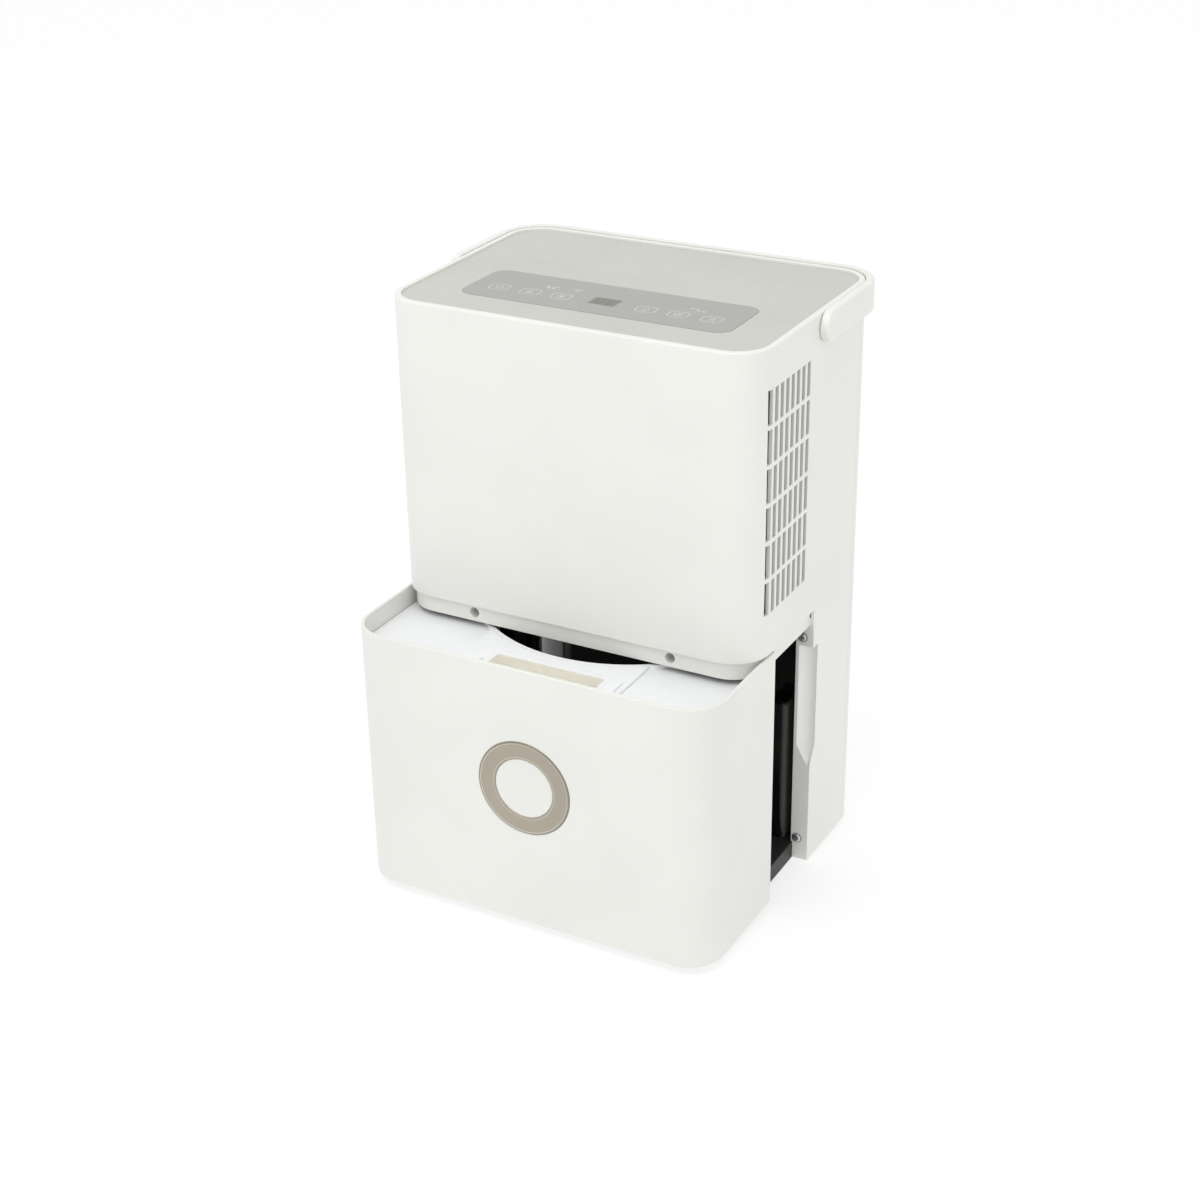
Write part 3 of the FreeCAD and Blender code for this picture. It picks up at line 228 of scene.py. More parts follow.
class Paint(NodeBook):
    """The shader tree of one finish."""

    def __init__(self, name: str) -> None:
        """Start a material with one Principled shader.

        Args:
            name: the material's name.
        """
        self.material = bpy.data.materials.new(name)
        self.material.use_nodes = True
        super().__init__(self.material.node_tree)
        self.tree.nodes.clear()
        self.shader = self.node("ShaderNodeBsdfPrincipled")
        self.node("ShaderNodeOutputMaterial", None, {"Surface": self.shader.outputs[0]})
        self.place = self.node("ShaderNodeTexCoord").outputs["Object"]

    def stretched(self, x: float, y: float, z: float) -> Socket:
        """Object coordinates, scaled by axis."""
        return self.node("ShaderNodeMapping", None, {"Vector": self.place, "Scale": (x, y, z)}).outputs[0]

    def noise(self, scale: float, detail: float = 2.0, place: Socket | None = None) -> Level:
        """Soft noise, whose scale is in features a metre.

        Args:
            scale: features a metre.
            detail: octaves of finer noise.
            place: coordinates, if not the object's own.

        Returns:
            Noise from 0 to 1.
        """
        return self.level("ShaderNodeTexNoise", {"normalize": True},
                          {"Vector": place or self.place, "Scale": scale, "Detail": detail})

    def cells(self, scale: float, place: Socket | None = None) -> Level:
        """Distance to the nearest of scattered points."""
        return self.level("ShaderNodeTexVoronoi", {"feature": "F1"},
                          {"Vector": place or self.place, "Scale": scale})

    def mix(self, share: Level | float, first: object, second: object) -> Socket:
        """Blend of two colours.

        Args:
            share: how much of the second.
            first: a colour or a colour's socket.
            second: a colour or a colour's socket.

        Returns:
            The blend's socket.
        """
        made = self.node("ShaderNodeMix", {"data_type": "RGBA"},
                         {"Factor_Float": share, "A_Color": first, "B_Color": second})
        return next(s for s in made.outputs if s.identifier == "Result_Color")

    def hairlines(self, scale: float, width: float, cover: float) -> Level:
        """Sparse fine scratches, 1 on a scratch.

        Args:
            scale: how many wander across a metre.
            width: their width, as a share of the noise.
            cover: how much of the surface has any.

        Returns:
            The scratches' mask.
        """
        line = abs(self.noise(scale, 1.5, self.stretched(1.0, 0.35, 2.2)) - 0.5) < width
        worn = self.noise(scale * 0.7, 1.0) > 1.0 - cover
        return line * worn

    def bump(self, height: Level, depth: float, strength: float = 1.0) -> None:
        """Feed the shader's Normal from a height, whose depth is in metres."""
        made = self.node("ShaderNodeBump", None,
                         {"Height": height, "Distance": depth, "Strength": strength})
        self._feed(self.shader.inputs["Normal"], made.outputs[0])

    def surface(self, colour: object, roughness: Level | float,
                **constants: float | tuple) -> Material:
        """Set the shader.

        Args:
            colour: base colour or its socket.
            roughness: roughness or its socket.
            constants: other sockets by name, underscores for spaces.

        Returns:
            The finished material.
        """
        self._feed(self.shader.inputs["Base Color"], colour)
        self._feed(self.shader.inputs["Roughness"], roughness)
        for name, value in constants.items():
            self._feed(self.shader.inputs[name.replace("_", " ")], value)
        return self.material


# ---- finishes --------------------------------------------
RING_OUTER = 36.8 * MM
RING_INNER = 23.2 * MM


def shade(colour: Colour, factor: float, lift: float = 0.0) -> Colour:
    """A colour made darker or paler by a factor, then lifted."""
    return tuple(c * factor + lift for c in colour)


@dataclass(frozen=True)
class Finish:
    """A finish that one of the record's material slots names."""

    slot: str
    colour: Colour
    roughness: float

    def make(self) -> Material:
        """The finish's material, made once."""
        name = "finish_" + self.slot
        return bpy.data.materials.get(name) or self.mix_paint(Paint(name))

    def mix_paint(self, paint: Paint) -> Material:
        """Fill the material. Each family does this its own way."""
        raise NotImplementedError


@dataclass(frozen=True)
class Moulding(Finish):
    """Moulded plastic: fine spark-eroded grain, flow drift, a few hairlines, a little settled dust."""

    grain: float = 1900.0
    grain_depth: float = 0.012 * MM
    drift: float = 0.03
    dust: float = 0.035
    wear: float = 0.05

    def mix_paint(self, paint: Paint) -> Material:
        """Grain in the bump, drift and hairlines in the roughness, dust in the colour.

        Args:
            paint: the tree to fill.

        Returns:
            The finished material.
        """
        flow = paint.noise(11.0, 2.0)
        grain = paint.noise(self.grain, 2.0)
        mottle = paint.noise(140.0, 3.0)
        scratch = paint.hairlines(16.0, 0.0016, 0.42)
        up = paint.split(paint.node("ShaderNodeNewGeometry").outputs["Normal"])[2]
        settled = up.ramp(0.55, 0.98) * mottle.ramp(0.42, 0.72) * self.dust
        tone = paint.mix(flow.ramp(0.35, 0.68), self.colour, shade(self.colour, 1.0 - self.drift))
        dusted = paint.mix(settled, tone, shade(self.colour, 0.55, 0.18))
        paint.bump(grain + mottle * 0.6, self.grain_depth, 0.8)
        rough = self.roughness + (flow - 0.5) * 0.08 + (mottle - 0.5) * 0.06 + scratch * self.wear \
            + settled * 2.0
        return paint.surface(dusted, rough, IOR=1.49)


@dataclass(frozen=True)
class GlossWall(Moulding):
    """Polished black wall whose guide blocks have spark-eroded sides, made paler there by a painted
    reflection.
    """

    # painted reflection: the paler colour painted on the guide blocks' sideways faces
    side: Colour = (0.085, 0.085, 0.08)
    block_x: float = 109.0 * MM

    def mix_paint(self, paint: Paint) -> Material:
        """Paler where a block's face looks sideways, as a painted reflection, and rougher there; smears
        elsewhere.

        Args:
            paint: the tree to fill.

        Returns:
            The finished material.
        """
        facing = paint.split(paint.node("ShaderNodeNewGeometry").outputs["Normal"])[0]
        out = abs(paint.split(paint.place)[0])
        eroded_and_reflection_mask = abs(facing).ramp(0.55, 0.95) * (out > self.block_x)
        smear = paint.noise(38.0, 3.0)
        grain = paint.noise(900.0, 2.0)
        tone = paint.mix(smear.ramp(0.4, 0.75) * 0.4, self.colour, shade(self.colour, 1.0, 0.006))
        paint.bump(smear * 0.2 + grain * eroded_and_reflection_mask, 0.02 * MM, 0.6)
        rough = self.roughness + (smear - 0.5) * 0.08 + eroded_and_reflection_mask * 0.4
        # the sideways faces take the side colour as a painted reflection
        return paint.surface(paint.mix(eroded_and_reflection_mask, tone, self.side), rough, IOR=1.5, Specular_IOR_Level=0.36)


@dataclass(frozen=True)
class PocketMoulding(Moulding):
    """Lid plastic whose finger pocket is an ivory insert."""

    pocket: Colour = (0.95, 0.925, 0.85)
    pocket_low: Point = (0.0, 0.0, 0.0)
    pocket_high: Point = (0.0, 0.0, 0.0)

    def make(self) -> Material:
        """The pocket's own material, apart from the plain finish of the slot."""
        return self.mix_paint(Paint("finish_pocket"))

    def mix_paint(self, paint: Paint) -> Material:
        """Ivory inside the pocket's box, the lid's white round it.

        Args:
            paint: the tree to fill.

        Returns:
            The finished material.
        """
        x, y, z = paint.split(paint.place)
        inside = (x > self.pocket_low[0]) * (x < self.pocket_high[0]) * (y > self.pocket_low[1]) \
            * (y < self.pocket_high[1]) * (z < self.pocket_high[2])
        mottle = paint.noise(160.0, 3.0)
        grain = paint.noise(self.grain, 2.0)
        white = paint.mix(mottle.ramp(0.3, 0.75), self.colour, shade(self.colour, 0.97))
        ivory = paint.mix(mottle.ramp(0.3, 0.75), self.pocket, shade(self.pocket, 0.95))
        paint.bump(grain + mottle * 0.5, self.grain_depth, 0.8)
        rough = self.roughness + (mottle - 0.5) * 0.08
        return paint.surface(paint.mix(inside, white, ivory), rough, IOR=1.49)


@dataclass(frozen=True)
class PrintedFilm(Finish):
    """Satin film with a fine printed grain and wiping marks."""

    def mix_paint(self, paint: Paint) -> Material:
        """Pearl grain in the colour, long faint wipes in the roughness.

        Args:
            paint: the tree to fill.

        Returns:
            The finished material.
        """
        pearl = paint.noise(2600.0, 2.0)
        wipe = paint.noise(70.0, 3.0, paint.stretched(0.25, 1.6, 1.0))
        tone = paint.mix(pearl.ramp(0.3, 0.75), self.colour, shade(self.colour, 0.93))
        paint.bump(pearl, 0.006 * MM, 0.7)
        return paint.surface(tone, self.roughness + (wipe - 0.5) * 0.14, IOR=1.5, Specular_IOR_Level=0.5)


@dataclass(frozen=True)
class SmokedWindow(Finish):
    """Smoked display window: glossy, with a faint dot raster under it."""

    def mix_paint(self, paint: Paint) -> Material:
        """Dot raster in the colour, finger haze in the roughness.

        Args:
            paint: the tree to fill.

        Returns:
            The finished material.
        """
        x, y, _ = paint.split(paint.place)
        dots = ((x * 6200.0).cosine() * (y * 6200.0).cosine()).ramp(0.1, 0.9)
        haze = paint.noise(160.0, 3.0)
        tone = paint.mix(dots, self.colour, shade(self.colour, 1.35))
        paint.bump(haze, 0.004 * MM, 0.5)
        return paint.surface(tone, self.roughness + haze * 0.1, IOR=1.5, Coat_Weight=0.6,
                             Coat_Roughness=0.05)


@dataclass(frozen=True)
class SatinRing(Finish):
    """Tinted window ring with fine turned lines, a painted highlight along the groove inside each edge and
    painted shade on the outer bevel.
    """

    centre: Point = (0.0, 0.0, 0.0)
    outer: float = RING_OUTER
    inner: float = RING_INNER
    # painted shade colour of the outer bevel
    edge: Colour = (0.20, 0.175, 0.14)
    # painted highlight colour of the grooves, also a faint tint of the turned lines
    highlight_and_line_tint: Colour = (0.66, 0.62, 0.54)

    def mix_paint(self, paint: Paint) -> Material:
        """Turned lines round the centre, with a soft cloud in the tint, painted shade on the outer bevel and
        painted highlights along the grooves.

        Args:
            paint: the tree to fill.

        Returns:
            The finished material.
        """
        x, _, z = paint.split(paint.place)
        across = x - self.centre[0]
        along = z - self.centre[2]
        radius = (across * across + along * along).math("SQRT")
        turned = (radius * 9000.0).cosine() * 0.5 + 0.5
        cloud = paint.noise(28.0, 2.0)
        tint = paint.mix(cloud.ramp(0.3, 0.7), self.colour, shade(self.colour, 0.93))
        # painted shade: the outer bevel darkened towards the edge colour
        bevelled = paint.mix(radius.ramp(self.outer - 1.2 * MM, self.outer - 0.7 * MM) * 0.8, tint, self.edge)
        # painted highlights: pale lines along the groove inside each edge
        groove = (abs(radius - (self.outer - 1.7 * MM)) < 0.28 * MM) * 0.75 \
            + (abs(radius - (self.inner + 1.6 * MM)) < 0.24 * MM) * 0.55
        lined = paint.mix(groove + turned * 0.06, bevelled, self.highlight_and_line_tint)
        paint.bump(turned + cloud, 0.004 * MM, 0.7)
        return paint.surface(lined, self.roughness + (turned - 0.5) * 0.06 + (cloud - 0.5) * 0.08, IOR=1.5,
                             Coat_Weight=0.3, Coat_Roughness=0.15)


@dataclass(frozen=True)
class Rubber(Finish):
    """Soft moulded rubber with bloom."""

    def mix_paint(self, paint: Paint) -> Material:
        """Bloom lightens the colour and roughens the surface.

        Args:
            paint: the tree to fill.

        Returns:
            The finished material.
        """
        bloom = paint.noise(120.0, 4.0)
        grain = paint.noise(1500.0, 2.0)
        tone = paint.mix(bloom.ramp(0.45, 0.8) * 0.5, self.colour, shade(self.colour, 0.7, 0.05))
        paint.bump(grain + bloom, 0.03 * MM, 0.8)
        return paint.surface(tone, self.roughness + (bloom - 0.5) * 0.16, Specular_IOR_Level=0.3)


@dataclass(frozen=True)
class Enamel(Finish):
    """Stoved enamel on steel, with orange peel and rubbed spots."""

    def mix_paint(self, paint: Paint) -> Material:
        """Orange peel in the bump, bare spots where it has been knocked.

        Args:
            paint: the tree to fill.

        Returns:
            The finished material.
        """
        peel = paint.noise(520.0, 2.0)
        knocked = paint.noise(85.0, 5.0).ramp(0.70, 0.74)
        tone = paint.mix(knocked, self.colour, (0.16, 0.15, 0.14))
        paint.bump(peel - knocked * 0.5, 0.03 * MM, 0.7)
        return paint.surface(tone, self.roughness + (peel - 0.5) * 0.1 + knocked * 0.25, IOR=1.5,
                             Coat_Weight=0.2, Coat_Roughness=0.2)


@dataclass(frozen=True)
class BareMetal(Finish):
    """Drawn, rolled or plated metal, with its lay, tarnish and spangle."""

    tarnish: Colour = (0.3, 0.28, 0.25)
    lay: Point = (1.0, 1.0, 1.0)
    spangle: float = 0.0
    dulled: float = 0.5

    def mix_paint(self, paint: Paint) -> Material:
        """Lay lines in the roughness and bump, tarnish and spangle in the colour.

        Args:
            paint: the tree to fill.

        Returns:
            The finished material.
        """
        lines = paint.noise(900.0, 2.0, paint.stretched(*self.lay))
        stain = paint.noise(60.0, 4.0).ramp(0.45, 0.75) * self.dulled
        tone = paint.mix(stain, self.colour, self.tarnish)
        if self.spangle:
            flake = paint.cells(self.spangle).ramp(0.1, 0.8)
            tone = paint.mix(flake * 0.25, tone, shade(self.colour, 0.6))
        paint.bump(lines, 0.015 * MM, 0.7)
        rough = self.roughness + (lines - 0.5) * 0.18 + stain * 0.2
        return paint.surface(tone, rough, Metallic=1.0)


@dataclass(frozen=True)
class CircuitBoard(Finish):
    """Solder resist over tracks, with tinned pads."""

    def mix_paint(self, paint: Paint) -> Material:
        """Tracks lighten the resist, pads show through it.

        Args:
            paint: the tree to fill.

        Returns:
            The finished material.
        """
        x, y, z = paint.split(paint.place)
        track = paint.level("ShaderNodeTexBrick", {"offset": 0.37}, {
            "Vector": paint.join(x, y + z, 0.0), "Scale": 160.0, "Color1": (0, 0, 0), "Color2": (0, 0, 0),
            "Mortar": (1, 1, 1), "Mortar Size": 0.06})
        pads = 1.0 - paint.cells(210.0).ramp(0.10, 0.16)
        resist = paint.mix(track * 0.45, self.colour, shade(self.colour, 2.2))
        tone = paint.mix(pads, resist, (0.55, 0.55, 0.52))
        paint.bump(track * 0.5 + pads, 0.03 * MM, 0.8)
        return paint.surface(tone, self.roughness + pads * 0.1 + track * 0.05, IOR=1.5)


@dataclass(frozen=True)
class WovenNylon(Finish):
    """Filter nylon, with caught dust."""

    def mix_paint(self, paint: Paint) -> Material:
        """Dust greys the thread in patches.

        Args:
            paint: the tree to fill.

        Returns:
            The finished material.
        """
        caught = paint.noise(45.0, 4.0)
        tone = paint.mix(caught.ramp(0.45, 0.8) * 0.5, self.colour, (0.42, 0.40, 0.37))
        paint.bump(paint.noise(3000.0, 1.0), 0.01 * MM, 0.6)
        return paint.surface(tone, self.roughness + (caught - 0.5) * 0.15, IOR=1.53)


@dataclass(frozen=True)
class PrintedInk(Finish):
    """Ink on the key film."""

    def make(self) -> Material:
        """The ink's own material, apart from the film's finish."""
        return self.mix_paint(Paint(f"ink_{round(self.colour[0] * 100)}"))

    def mix_paint(self, paint: Paint) -> Material:
        """Slight unevenness of the ink.

        Args:
            paint: the tree to fill.

        Returns:
            The finished material.
        """
        uneven = paint.noise(1400.0, 2.0)
        tone = paint.mix(uneven.ramp(0.3, 0.8), self.colour, shade(self.colour, 0.88))
        paint.bump(uneven, 0.004 * MM, 0.5)
        return paint.surface(tone, self.roughness + (uneven - 0.5) * 0.1)


def finishes() -> dict[str, Finish]:
    """Every finish, by the record's slot.

    Returns:
        Finishes by slot.
    """
    steel_tarnish = (0.30, 0.30, 0.29)
    listed = [
        Moulding("casing_white", (0.785, 0.788, 0.752), 0.36),
        Moulding("panel_grey", (0.53, 0.535, 0.495), 0.42, grain=2600.0),
        PrintedFilm("strip_film", (0.36, 0.367, 0.342), 0.40),
        SmokedWindow("display_dark", (0.085, 0.079, 0.054), 0.22),
        Moulding("lid_white", (0.865, 0.875, 0.89), 0.38, grain=1500.0),
        Moulding("tub_natural", (0.82, 0.83, 0.82), 0.42, grain=900.0, drift=0.05),
        SatinRing("ring_taupe", (0.36, 0.322, 0.255), 0.32, centre=tuple(middle(box_of("level_ring")))),
        Moulding("float_white", (0.84, 0.84, 0.82), 0.45),
        BareMetal("magnet", (0.10, 0.10, 0.11), 0.6, tarnish=(0.05, 0.05, 0.05)),
        GlossWall("black_gloss", (0.005, 0.005, 0.005), 0.09),
        Moulding("black_matt", (0.018, 0.018, 0.018), 0.5, grain=1300.0, grain_depth=0.03 * MM, dust=0.03),
        Rubber("rubber_black", (0.02, 0.02, 0.02), 0.75),
        Rubber("rubber_grey", (0.48, 0.48, 0.47), 0.65),
        Moulding("drip_grey", (0.50, 0.51, 0.52), 0.45, grain=1200.0),
        Enamel("enamel_black", (0.012, 0.012, 0.012), 0.3),
        BareMetal("copper", (0.80, 0.42, 0.27), 0.28, tarnish=(0.36, 0.19, 0.12), lay=(0.12, 1.0, 1.0)),
        BareMetal("fin_aluminium", (0.86, 0.87, 0.88), 0.3, tarnish=(0.55, 0.55, 0.56), lay=(1.0, 1.0, 0.1)),
        BareMetal("zinc_steel", (0.62, 0.63, 0.62), 0.3, tarnish=steel_tarnish, spangle=260.0),
        BareMetal("motor_steel", (0.58, 0.59, 0.60), 0.34, tarnish=steel_tarnish, lay=(1.0, 0.1, 1.0)),
        CircuitBoard("board_green", (0.02, 0.13, 0.06), 0.32),
        WovenNylon("mesh_grey", (0.22, 0.23, 0.24), 0.6),
    ]
    return {finish.slot: finish for finish in listed}


# ---- making pieces ---------------------------------------
WELD = 0.002 * MM          # points nearer than this are one
FLAT_DEGREES = 0.4         # faces this near to flat are joined
SHADE_DEGREES = 30.0       # edges sharper than this are shaded hard
ROUND_DEGREES = 38.0       # edges sharper than this get a round


class Body(Enum):
    """The bodies that pieces ride on."""

    HOUSING = "housing"
    HANDLE = "handle"
    TANK = "tank"
    FILTER = "filter"


@dataclass
class Workshop:
    """Finishes by slot, and the ways to put a finished mesh in its place."""

    shelf: dict[str, Finish] = field(default_factory=finishes)

    def paint(self, slot: str) -> Material:
        """The material of a slot."""
        return self.shelf[slot].make()

    def place(self, mesh: Mesh, name: str, body: Body, slot: str,
              replaced: Sequence[str] = ()) -> Object:
        """Make a piece of a mesh that is already in place.

        Args:
            mesh: the final mesh, in the frame's axes.
            name: the piece's name.
            body: what it rides on.
            slot: the record's slot of its finish.
            replaced: frame nodes that it stands for.

        Returns:
            The piece.
        """
        mesh.name = name
        piece = bpy.data.objects.new(name, mesh)
        bpy.context.scene.collection.objects.link(piece)
        if not mesh.materials:
            mesh.materials.append(self.paint(slot))
        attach(piece, body.value)
        if replaced:
            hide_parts(*replaced)
        log.info("%s rides on %s, %d faces, finish %s", name, body.value, len(mesh.polygons), slot)
        return piece

    def mould(self, node: str, body: Body, slot: str, width: float) -> None:
        """Stand a softened moulding in place of its frame node."""
        self.place(softened(node, width), node + "_moulded", body, slot, [node])

    def dress(self, name: str, material: Material) -> None:
        """Give a frame node a material.

        Args:
            name: the frame node.
            material: what it gets.
        """
        node = frame["nodes"][name]
        slots = node.material_slots
        if not slots:
            node.data.materials.append(material)
        for spot in slots:
            spot.material = material
        log.info("%s has finish %s", name, material.name)


def box_of(name: str) -> Box:
    """A frame node's box."""
    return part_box(name)


def middle(box: Box) -> Vector:
    """Centre of a box."""
    return (box[0] + box[1]) / 2


def merged(name: str) -> BMesh:
    """A copy of a frame node's mesh with its loose triangles joined.

    Args:
        name: the frame node.

    Returns:
        The joined copy.
    """
    mesh = bmesh.new()
    mesh.from_mesh(frame["nodes"][name].data)
    bmesh.ops.remove_doubles(mesh, verts=mesh.verts, dist=WELD)
    return mesh


def solid_boxes(name: str) -> list[Box]:
    """Boxes of the separate solids in a frame node, in order of place.

    Args:
        name: the frame node.

    Returns:
        Low and high corners of each solid.
    """
    mesh = merged(name)
    left = set(mesh.verts)
    boxes = []
    while left:
        front = [left.pop()]
        found = list(front)
        while front:
            vert = front.pop()
            for edge in vert.link_edges:
                other = edge.other_vert(vert)
                if other in left:
                    left.remove(other)
                    front.append(other)
                    found.append(other)
        spots = [v.co for v in found]
        boxes.append((Vector(map(min, *spots)), Vector(map(max, *spots))))
    mesh.free()
    return sorted(boxes, key=lambda pair: tuple(pair[0]))


def to_mesh(source: BMesh, name: str) -> Mesh:
    """Turn a bmesh into a mesh and free it.

    Args:
        source: the shape, freed here.
        name: the mesh's name.

    Returns:
        The mesh.
    """
    mesh = bpy.data.meshes.new(name)
    source.to_mesh(mesh)
    source.free()
    return mesh


def evaluated(work: Object) -> Mesh:
    """The plain mesh of an object with its modifiers applied; the object is removed.

    Args:
        work: the passing object.

    Returns:
        Its final mesh.
    """
    graph = bpy.context.evaluated_depsgraph_get()
    graph.update()
    mesh = bpy.data.meshes.new_from_object(work.evaluated_get(graph), preserve_all_data_layers=True,
                                           depsgraph=graph)
    bpy.data.objects.remove(work)
    return mesh


def work_object(mesh: Mesh) -> Object:
    """A passing object that carries a mesh through its modifiers.

    Args:
        mesh: what it carries.

    Returns:
        The object.
    """
    work = bpy.data.objects.new("work", mesh)
    bpy.context.scene.collection.objects.link(work)
    return work


def smooth(mesh: Mesh, degrees: float = 32.0) -> Mesh:
    """Shade smooth but for edges sharper than an angle.

    Args:
        mesh: the mesh, changed in place.
        degrees: sharper edges stay hard.

    Returns:
        The same mesh.
    """
    mesh.polygons.foreach_set("use_smooth", [True] * len(mesh.polygons))
    mesh.set_sharp_from_angle(angle=math.radians(degrees))
    return mesh


def softened(name: str, width: float, segments: int = 2) -> Mesh:
    """A frame node's mesh with small rounds on its sharp edges, as a moulding has.

    Args:
        name: the frame node.
        width: the rounds' width in metres.
        segments: faces across a round.

    Returns:
        The new mesh, in place, whose flat faces keep flat normals.
    """
    joined = merged(name)
    bmesh.ops.dissolve_limit(joined, angle_limit=math.radians(FLAT_DEGREES), verts=joined.verts[:],
                             edges=joined.edges[:])
    work = work_object(smooth(to_mesh(joined, name + "_edges"), SHADE_DEGREES))
    rounds = work.modifiers.new("rounds", "BEVEL")
    rounds.width = width
    rounds.segments = segments
    rounds.limit_method = "ANGLE"
    rounds.angle_limit = math.radians(ROUND_DEGREES)
    rounds.use_clamp_overlap = False
    shading = work.modifiers.new("shading", "WEIGHTED_NORMAL")
    shading.mode = "FACE_AREA"
    shading.weight = 100
    shading.keep_sharp = True
    return evaluated(work)


def revolved(profile: Sequence[tuple[float, float]], steps: int, closed: bool = False) -> BMesh:
    """Turn a profile round +Z.

    Args:
        profile: radius and height of each point, from the foot up.
        steps: faces round.
        closed: join the last point to the first, for a ring.

    Returns:
        The turned shape with its faces pointing outwards.
    """
    mesh = bmesh.new()
    rings = []
    for radius, height in profile:
        if radius < 1e-9:
            rings.append([mesh.verts.new((0, 0, height))] * steps)
            continue
        turns = (2 * math.pi * k / steps for k in range(steps))
        rings.append([mesh.verts.new((radius * math.cos(a), radius * math.sin(a), height)) for a in turns])
    pairs = list(zip(rings, rings[1:]))
    if closed:
        pairs.append((rings[-1], rings[0]))
    for lower, upper in pairs:
        for k in range(steps):
            corners = [lower[k], lower[k - 1], upper[k - 1], upper[k]]
            mesh.faces.new(list(dict.fromkeys(corners)))
    bmesh.ops.recalc_face_normals(mesh, faces=mesh.faces[:])
    return mesh


def prism(outline: Sequence[tuple[float, float]], low: float, high: float) -> BMesh:
    """Upright prism over an outline.

    Args:
        outline: its corners.
        low: height of its foot.
        high: height of its top.

    Returns:
        The prism.
    """
    mesh = bmesh.new()
    floor = mesh.faces.new([mesh.verts.new((x, y, low)) for x, y in outline])
    raised = bmesh.ops.extrude_face_region(mesh, geom=[floor])
    tops = [item for item in raised["geom"] if isinstance(item, bmesh.types.BMVert)]
    bmesh.ops.translate(mesh, verts=tops, vec=(0, 0, high - low))
    bmesh.ops.recalc_face_normals(mesh, faces=mesh.faces[:])
    return mesh


class Rule(NodeBook):
    """A Geometry Nodes tree with named inputs, ending in Realize Instances and Set Material."""

    def __init__(self, name: str, material: Material) -> None:
        """Start the tree.

        Args:
            name: the tree's name.
            material: what its faces get.
        """
        super().__init__(bpy.data.node_groups.new(name, "GeometryNodeTree"))
        self.material = material
        for way in ("INPUT", "OUTPUT"):
            self.tree.interface.new_socket("Geometry", in_out=way, socket_type="NodeSocketGeometry")
        self.inlet = self.tree.nodes.new("NodeGroupInput")
        self.outlet = self.tree.nodes.new("NodeGroupOutput")
        self.values: dict[str, object] = {}

    def size(self, name: str, value: float | int | Point) -> Level | Socket:
        """Add a named input with its value.

        Args:
            name: the input's name.
            value: a length, a count or a place.

        Returns:
            The input as a number, or as a vector's socket.
        """
        kinds = {float: "NodeSocketFloat", int: "NodeSocketInt"}
        kind = kinds.get(type(value), "NodeSocketVector")
        made = self.tree.interface.new_socket(name, in_out="INPUT", socket_type=kind)
        self.values[made.identifier] = value
        socket = self.inlet.outputs[name]
        return socket if kind == "NodeSocketVector" else Level(self, socket)

    def position(self) -> Socket:
        """Each point's place."""
        return self.node("GeometryNodeInputPosition").outputs[0]

    def tube(self, curve: Socket, radius: Level, sides: int) -> Socket:
        """Round bar along a curve.

        Args:
            curve: the middle line.
            radius: the bar's radius.
            sides: faces round.

        Returns:
            The bar's socket.
        """
        ring = self.node("GeometryNodeCurvePrimitiveCircle", None, {"Resolution": sides, "Radius": radius})
        return self.node("GeometryNodeCurveToMesh", None,
                         {"Curve": curve, "Profile Curve": ring.outputs[0], "Fill Caps": True}).outputs[0]

    def spread(self, points: Socket, shape: Socket,
               **more: object) -> Socket:
        """A shape repeated on points."""
        return self.node("GeometryNodeInstanceOnPoints", None,
                         {"Points": points, "Instance": shape, **more}).outputs[0]

    def run(self, geometry: Socket, start: Mesh | None = None) -> Mesh:
        """Finish the tree and make its plain mesh.

        Args:
            geometry: the last shape's socket.
            start: the mesh that the tree begins with, if it needs one.

        Returns:
            The mesh, in the axes that the tree gives it.
        """
        real = self.node("GeometryNodeRealizeInstances", None, {"Geometry": geometry})
        dressed = self.node("GeometryNodeSetMaterial", None,
                            {"Geometry": real.outputs[0], "Material": self.material})
        self.tree.links.new(dressed.outputs[0], self.outlet.inputs[0])
        work = work_object(start or bpy.data.meshes.new("empty"))
        modifier = work.modifiers.new("rule", "NODES")
        modifier.node_group = self.tree
        for identifier, value in self.values.items():
            modifier[identifier] = value
        return evaluated(work)


# ---- casing ----------------------------------------------
@dataclass
class Casing:
    """White shells, grey top, handle and the removable rear grille."""

    shop: Workshop
    seam_round: float = 0.35 * MM
    fine_round: float = 0.12 * MM
    spring: float = 0.7 * MM

    def build(self) -> None:
        """Round the sharp edges of the mouldings that show."""
        self.shop.mould("main_housing", Body.HOUSING, "casing_white", self.seam_round)
        self.shop.mould("rear_housing", Body.HOUSING, "casing_white", self.seam_round)
        self.panel()
        self.shop.mould("carry_handle", Body.HANDLE, "casing_white", self.seam_round)
        self.shop.mould("intake_grille", Body.FILTER, "casing_white", self.fine_round)

    def panel(self) -> None:
        """Top panel, sprung outwards so that it meets the rim."""
        low, high = box_of("top_panel")
        centre = middle((low, high))
        mesh = softened("top_panel", self.fine_round)
        grow = Matrix.Diagonal((1 + self.spring / (high.x - low.x), 1 + self.spring / (high.y - low.y), 1, 1))
        mesh.transform(Matrix.Translation(centre) @ grow @ Matrix.Translation(-centre))
        self.shop.place(mesh, "top_panel_moulded", Body.HOUSING, "panel_grey", ["top_panel"])


